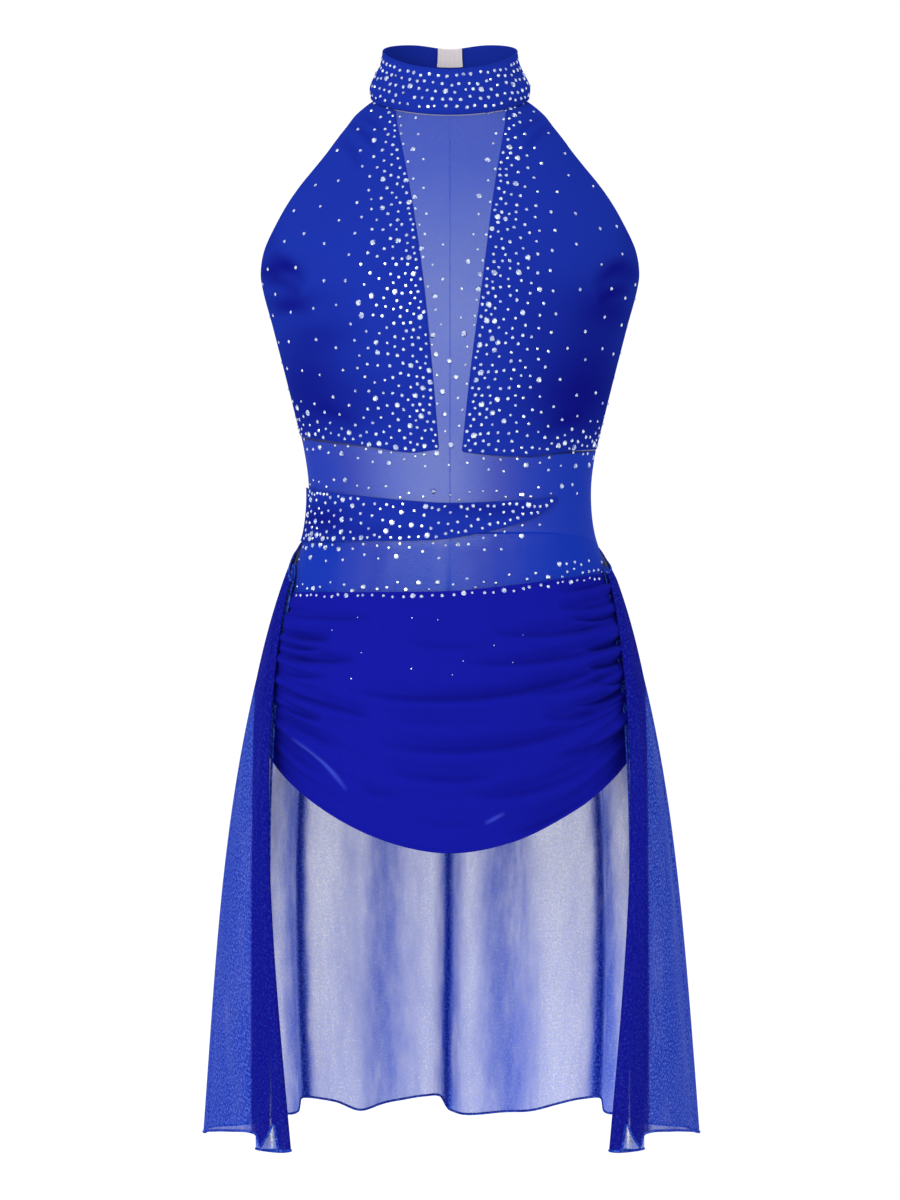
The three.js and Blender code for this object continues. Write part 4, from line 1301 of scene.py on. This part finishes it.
def on_grid(grid, s, t):
    """Points and normals of a grid at shares s across and t down, by bilinear mixing."""
    facing = normals(grid)
    i, j = s * (grid.shape[0] - 1), t * (grid.shape[1] - 1)
    a, b = np.minimum(i.astype(int), grid.shape[0] - 2), np.minimum(j.astype(int), grid.shape[1] - 2)
    u, v = (i - a)[:, None], (j - b)[:, None]

    def read(field):
        return mix(mix(field[a, b], field[a + 1, b], u), mix(field[a, b + 1], field[a + 1, b + 1], u), v)

    return read(grid), unit(read(facing))


def scatter(grid, spacing, seed, tries=9000):
    """Darts that keep their spacing: a dart is kept if it clears all kept ones by the mean spacing."""
    rng = np.random.default_rng(seed)
    s, t = rng.random((2, tries))
    points, facing = on_grid(grid, s, t)
    wanted = spacing(points[:, 0], points[:, 2])
    kept = []
    for dart in np.flatnonzero(wanted < NO_STONE):
        away = np.linalg.norm(points[kept] - points[dart], axis=-1)
        if not kept or np.all(away > (wanted[kept] + wanted[dart]) / 2):
            kept.append(dart)
    return points[kept], facing[kept], wanted[kept], rng


def stones_object(name, points, facing, radius, lift, seed, panel_name):
    """One mesh of many stones: template times radius, turned so that its axis is the normal."""
    rng = np.random.default_rng(seed)
    shape, faces = stone_template()
    spin = rng.random(len(points)) * 2 * np.pi
    first = unit(np.cross(facing, np.array([0.12, 0.03, 1.0])))
    second = np.cross(facing, first)
    turned = np.cos(spin)[:, None] * first + np.sin(spin)[:, None] * second
    other = np.cross(facing, turned)
    size = radius[:, None, None]
    body = (shape[None, :, :1] * turned[:, None] + shape[None, :, 1:2] * other[:, None]
            + shape[None, :, 2:] * facing[:, None]) * size
    placed = points[:, None] + facing[:, None] * lift + body
    numbers = faces[None] + (np.arange(len(points)) * len(shape))[:, None, None]
    made = mesh_object(name, placed.reshape(-1, 3), numbers.reshape(-1, 3), smooth=False)
    # A random tint per facet, one for the table and the back: painted reflections.
    tint = rng.random((len(points), len(faces)))
    tint[:, -2 * (FACETS - 2):] = mix(0.35, 1.0, rng.random((len(points), 1)))
    facets = made.data.attributes.new("tint", "FLOAT", "FACE")
    facets.data.foreach_set("value", tint.ravel().astype(np.float32))
    finish_piece(made, "crystal")
    print(f"  {len(points)} stones on the {panel_name}")


def stone_sizes(wanted, rng, small=(1.2, 1.65), large=2.5, share=0.12):
    size = mix(small[0], small[1], rng.random(len(wanted)))
    big = rng.random(len(wanted)) < share
    size = np.where(big, large * mix(0.9, 1.08, rng.random(len(wanted))), size)
    return np.where(wanted > 16, np.minimum(size, 1.6), size)


GLUE = 0.12
NO_STONE = 999.0

# %% [markdown]
# ### Where the stones lie
#
# Each panel has a rule that turns a place into a spacing, or says that no stone lies there. On the
# halter it is the smaller of two runs, one by the distance from the V seam and one by the height
# above the lower edge. The mesh carries a few just past the edges, the sash is closest along its
# own two edges, and the collar has staggered rows with a large stone every so often.

# %% Stones on the halter
DENSE_REACH = table("z reach", [
    (-20, 11), (-50, 20), (-90, 33), (-150, 46), (-200, 54), (-260, 62), (-305, 70),
])
EDGE_SPACING = table("away gap", [(0, 5.4), (8, 6.2), (16, 8.2), (28, 12.5), (45, 22), (90, 40)])


def halter_stones(side):
    word = WORDS[side]

    def spacing(x, z):
        from_seam = np.abs(x - along(V_SEAM, "z", z, word))
        reach = along(DENSE_REACH, "z", z, "reach")
        share = np.clip(from_seam / reach, 0, 1)
        gap = 5.0 + 4.2 * share**1.6 + np.clip((from_seam - reach) * 0.6, 0, 13)
        above = z - halter_hem(angle_of(x, z))
        gap = np.minimum(gap, along(EDGE_SPACING, "away", above, "gap"))
        rim = side_at(z) * np.sin(np.radians(armhole(z, "front")))
        near_rim = (np.abs(x) > rim - 7) & (z > ARMHOLE_FOOT)
        return np.where(near_rim | (from_seam < 1.6) | (above < 1.6), NO_STONE, gap)

    points, facing, wanted, rng = scatter(halter[side], spacing, 11 + side, 26000)
    sizes = stone_sizes(wanted, rng)
    name = f"stones_front_{word}"
    stones_object(name, points, facing, sizes, KNIT / 2 + GLUE, 21 + side, f"{word} front")


for half in (-1, 1):
    halter_stones(half)


# %% Stones on the mesh and the sash
def mesh_spacing(x, z):
    """Spacing on the mesh: close + growth times the distance from an edge, in a band along it."""
    angle = angle_of(x, z)
    in_v = z > halter_hem(angle)
    left, right = along(V_SEAM, "z", z, "left"), along(V_SEAM, "z", z, "right")
    from_v = np.minimum(x - left, right - x)
    gap_v = np.where((from_v > 1.8) & (from_v < 20), 6.2 + from_v * 0.6, NO_STONE)
    above_drape = z - along(DRAPE_TOP, "x", x, "z")
    sash_top, sash_bottom = sash_edges(angle)
    bands = (
        (halter_hem(angle) - z, 1.8, 14, 5.6, 0.55, 80),
        (z - sash_top, 2.4, 12, 5.6, 0.5, 66),
        (sash_bottom - z, 2.4, 17, 5.4, 0.5, 40),
        (above_drape, 2.2, 12, 5.2, 0.6, 80),
    )
    gap = np.full(z.shape, NO_STONE)
    for away, near, far, close, growth, last_angle in bands:
        inside = (away > near) & (away < far) & (angle <= last_angle)
        gap = np.where(inside, close + away * growth, gap)
    cluster = (x > 88) & (x < 116) & (above_drape > 2.2) & (above_drape < 15)
    gap = np.where(cluster, 6.4, gap)
    gap = np.where(np.abs(angle) > 80, NO_STONE, gap)
    return np.where(in_v, gap_v, gap)


def mesh_stones():
    angle, z = panel(120, 160, level(-84), level(84), top_under_collar, level(-416))
    points, facing, wanted, rng = scatter(seated(angle, z), mesh_spacing, 31, 26000)
    sizes = stone_sizes(wanted, rng, small=(1.1, 1.45), large=2.3, share=0.2)
    stones_object("stones_mesh", points, facing, sizes, GLUE, 32, "mesh")


mesh_stones()


def sash_stones():
    grid = sash_grid()

    def spacing(x, z):
        angle = angle_of(x, z)
        top, bottom = sash_edges(angle)
        to_edge = np.minimum(top - z, z - bottom)
        gap = np.where(to_edge < 6, 5.2, 7.4) - 0.8 * ramp(-angle, 45, 70)
        return np.where((to_edge < 1.7) | (angle < -82), NO_STONE, gap)

    points, facing, wanted, rng = scatter(grid, spacing, 41)
    sizes = stone_sizes(wanted, rng, share=0.18)
    stones_object("stones_sash", points, facing, sizes, KNIT / 2 + GLUE, 42, "sash")


sash_stones()


# %% Stones on the collar and the drape
def collar_stones():
    """Staggered rows round the front and sides; every fourth stone of the middle row is large."""
    rows = np.linspace(0.14, 0.84, 5)
    spread = np.arange(-88, 88.1, 7.1)
    angle = np.concatenate([spread + 3.7 * (k % 2) for k in range(5)])
    down = np.repeat(rows, len(spread))
    rng = np.random.default_rng(51)
    angle = angle + rng.normal(0, 0.7, len(angle))
    down = np.clip(down + rng.normal(0, 0.022, len(down)), 0.1, 0.88)
    order = np.tile(np.arange(len(spread)), 5)
    middle = np.repeat(np.arange(5), len(spread)) == 2
    size = np.where(middle & (order % 4 == 0), 2.6, mix(1.25, 1.75, rng.random(len(angle))))
    grid = collar_surface(np.linspace(-100, 100, 240)[:, None], np.linspace(0, 1, 40)[None])
    points, facing = on_grid(grid, (angle + 100) / 200, down)
    stones_object("stones_collar", points, facing, size, KNIT / 2 + GLUE, 52, "collar")


collar_stones()

DRAPE_DOTS = table("x z", [
    (-75, -437), (-31, -437), (-10, -439), (-96, -447), (-72, -465), (-31, -478), (-80, -486),
    (35, -459), (59, -451), (51, -473), (2, -483), (10, -472),
])


def drape_stones():
    """An uneven line along the drape's top edge, and a few loose dots below it."""
    rng = np.random.default_rng(61)
    share = np.linspace(0.03, 0.97, 38)
    s = share + rng.normal(0, 0.003, len(share))
    t = np.clip(rng.normal(0.009, 0.004, len(share)), 0.004, 0.03)
    points, facing = on_grid(drape, s, t)
    size = np.where(rng.random(len(s)) < 0.16, 2.4, mix(1.2, 1.6, rng.random(len(s))))
    flat = drape.reshape(-1, 3)
    dots = zip(*DRAPE_DOTS.values())
    nearest = [np.argmin((flat[:, 0] - x) ** 2 + (flat[:, 2] - z) ** 2) for x, z in dots]
    points = np.concatenate([points, flat[nearest]])
    facing = np.concatenate([facing, normals(drape).reshape(-1, 3)[nearest]])
    size = np.concatenate([size, np.full(len(nearest), 0.55)])
    stones_object("stones_drape", points, facing, size, SHEER / 2 + GLUE, 62, "drape")


drape_stones()

# %% [markdown]
# ## Floor, light and camera
#
# A pale floor and a white surround, a large soft light in front and to the left, and a weaker one
# on the right. The camera looks level along +Y from three metres, at the height of the garment's
# middle, with a lens that frames about a metre.

# %% Stage
FLOOR_Z = -1.05
FLOOR_HALF = 12.0
VIEW_DISTANCE = 3.0
VIEW_HEIGHT = -0.4225
FRAME_HEIGHT = 1.008
SENSOR = 36.0


def make_floor():
    mesh = bpy.data.meshes.new("floor")
    signs = ((-1, -1), (1, -1), (1, 1), (-1, 1))
    mesh.from_pydata([(FLOOR_HALF * x, FLOOR_HALF * y, FLOOR_Z) for x, y in signs], [], [(0, 1, 2, 3)])
    floor = bpy.data.objects.new("floor", mesh)
    bpy.context.scene.collection.objects.link(floor)
    material = bpy.data.materials.new("pale_floor")
    material.use_nodes = True
    shader = material.node_tree.nodes["Principled BSDF"]
    shader.inputs["Base Color"].default_value = (0.98, 0.98, 0.98, 1)
    shader.inputs["Roughness"].default_value = 0.9
    mesh.materials.append(material)


def make_light(name, place, aim, size, power):
    light = bpy.data.lights.new(name, "AREA")
    light.shape = "SQUARE"
    light.size = size
    light.energy = power
    made = bpy.data.objects.new(name, light)
    bpy.context.scene.collection.objects.link(made)
    made.location = place
    away = np.array(place) - np.array(aim)
    flat = math.hypot(away[0], away[1])
    made.rotation_euler = (math.atan2(flat, away[2]), 0, math.atan2(away[0], -away[1]))


def make_world():
    world = bpy.data.worlds.new("surround")
    world.use_nodes = True
    world.node_tree.nodes["Background"].inputs["Color"].default_value = (1, 1, 1, 1)
    world.node_tree.nodes["Background"].inputs["Strength"].default_value = 1.05
    bpy.context.scene.world = world


def make_camera():
    data = bpy.data.cameras.new("view")
    data.sensor_width = SENSOR
    data.lens = SENSOR * VIEW_DISTANCE / FRAME_HEIGHT
    camera = bpy.data.objects.new("view", data)
    bpy.context.scene.collection.objects.link(camera)
    camera.location = (0, -VIEW_DISTANCE, VIEW_HEIGHT)
    camera.rotation_euler = (math.pi / 2, 0, 0)
    bpy.context.scene.camera = camera


make_floor()
make_world()
make_light("key", (-1.6, -2.6, 0.6), (0, 0, -0.35), 1.6, 44)
make_light("fill", (1.9, -2.2, 0.0), (0, 0, -0.45), 1.8, 6)
make_camera()
bpy.context.scene.view_settings.view_transform = "Standard"
bpy.context.scene.cycles.transparent_max_bounces = 64
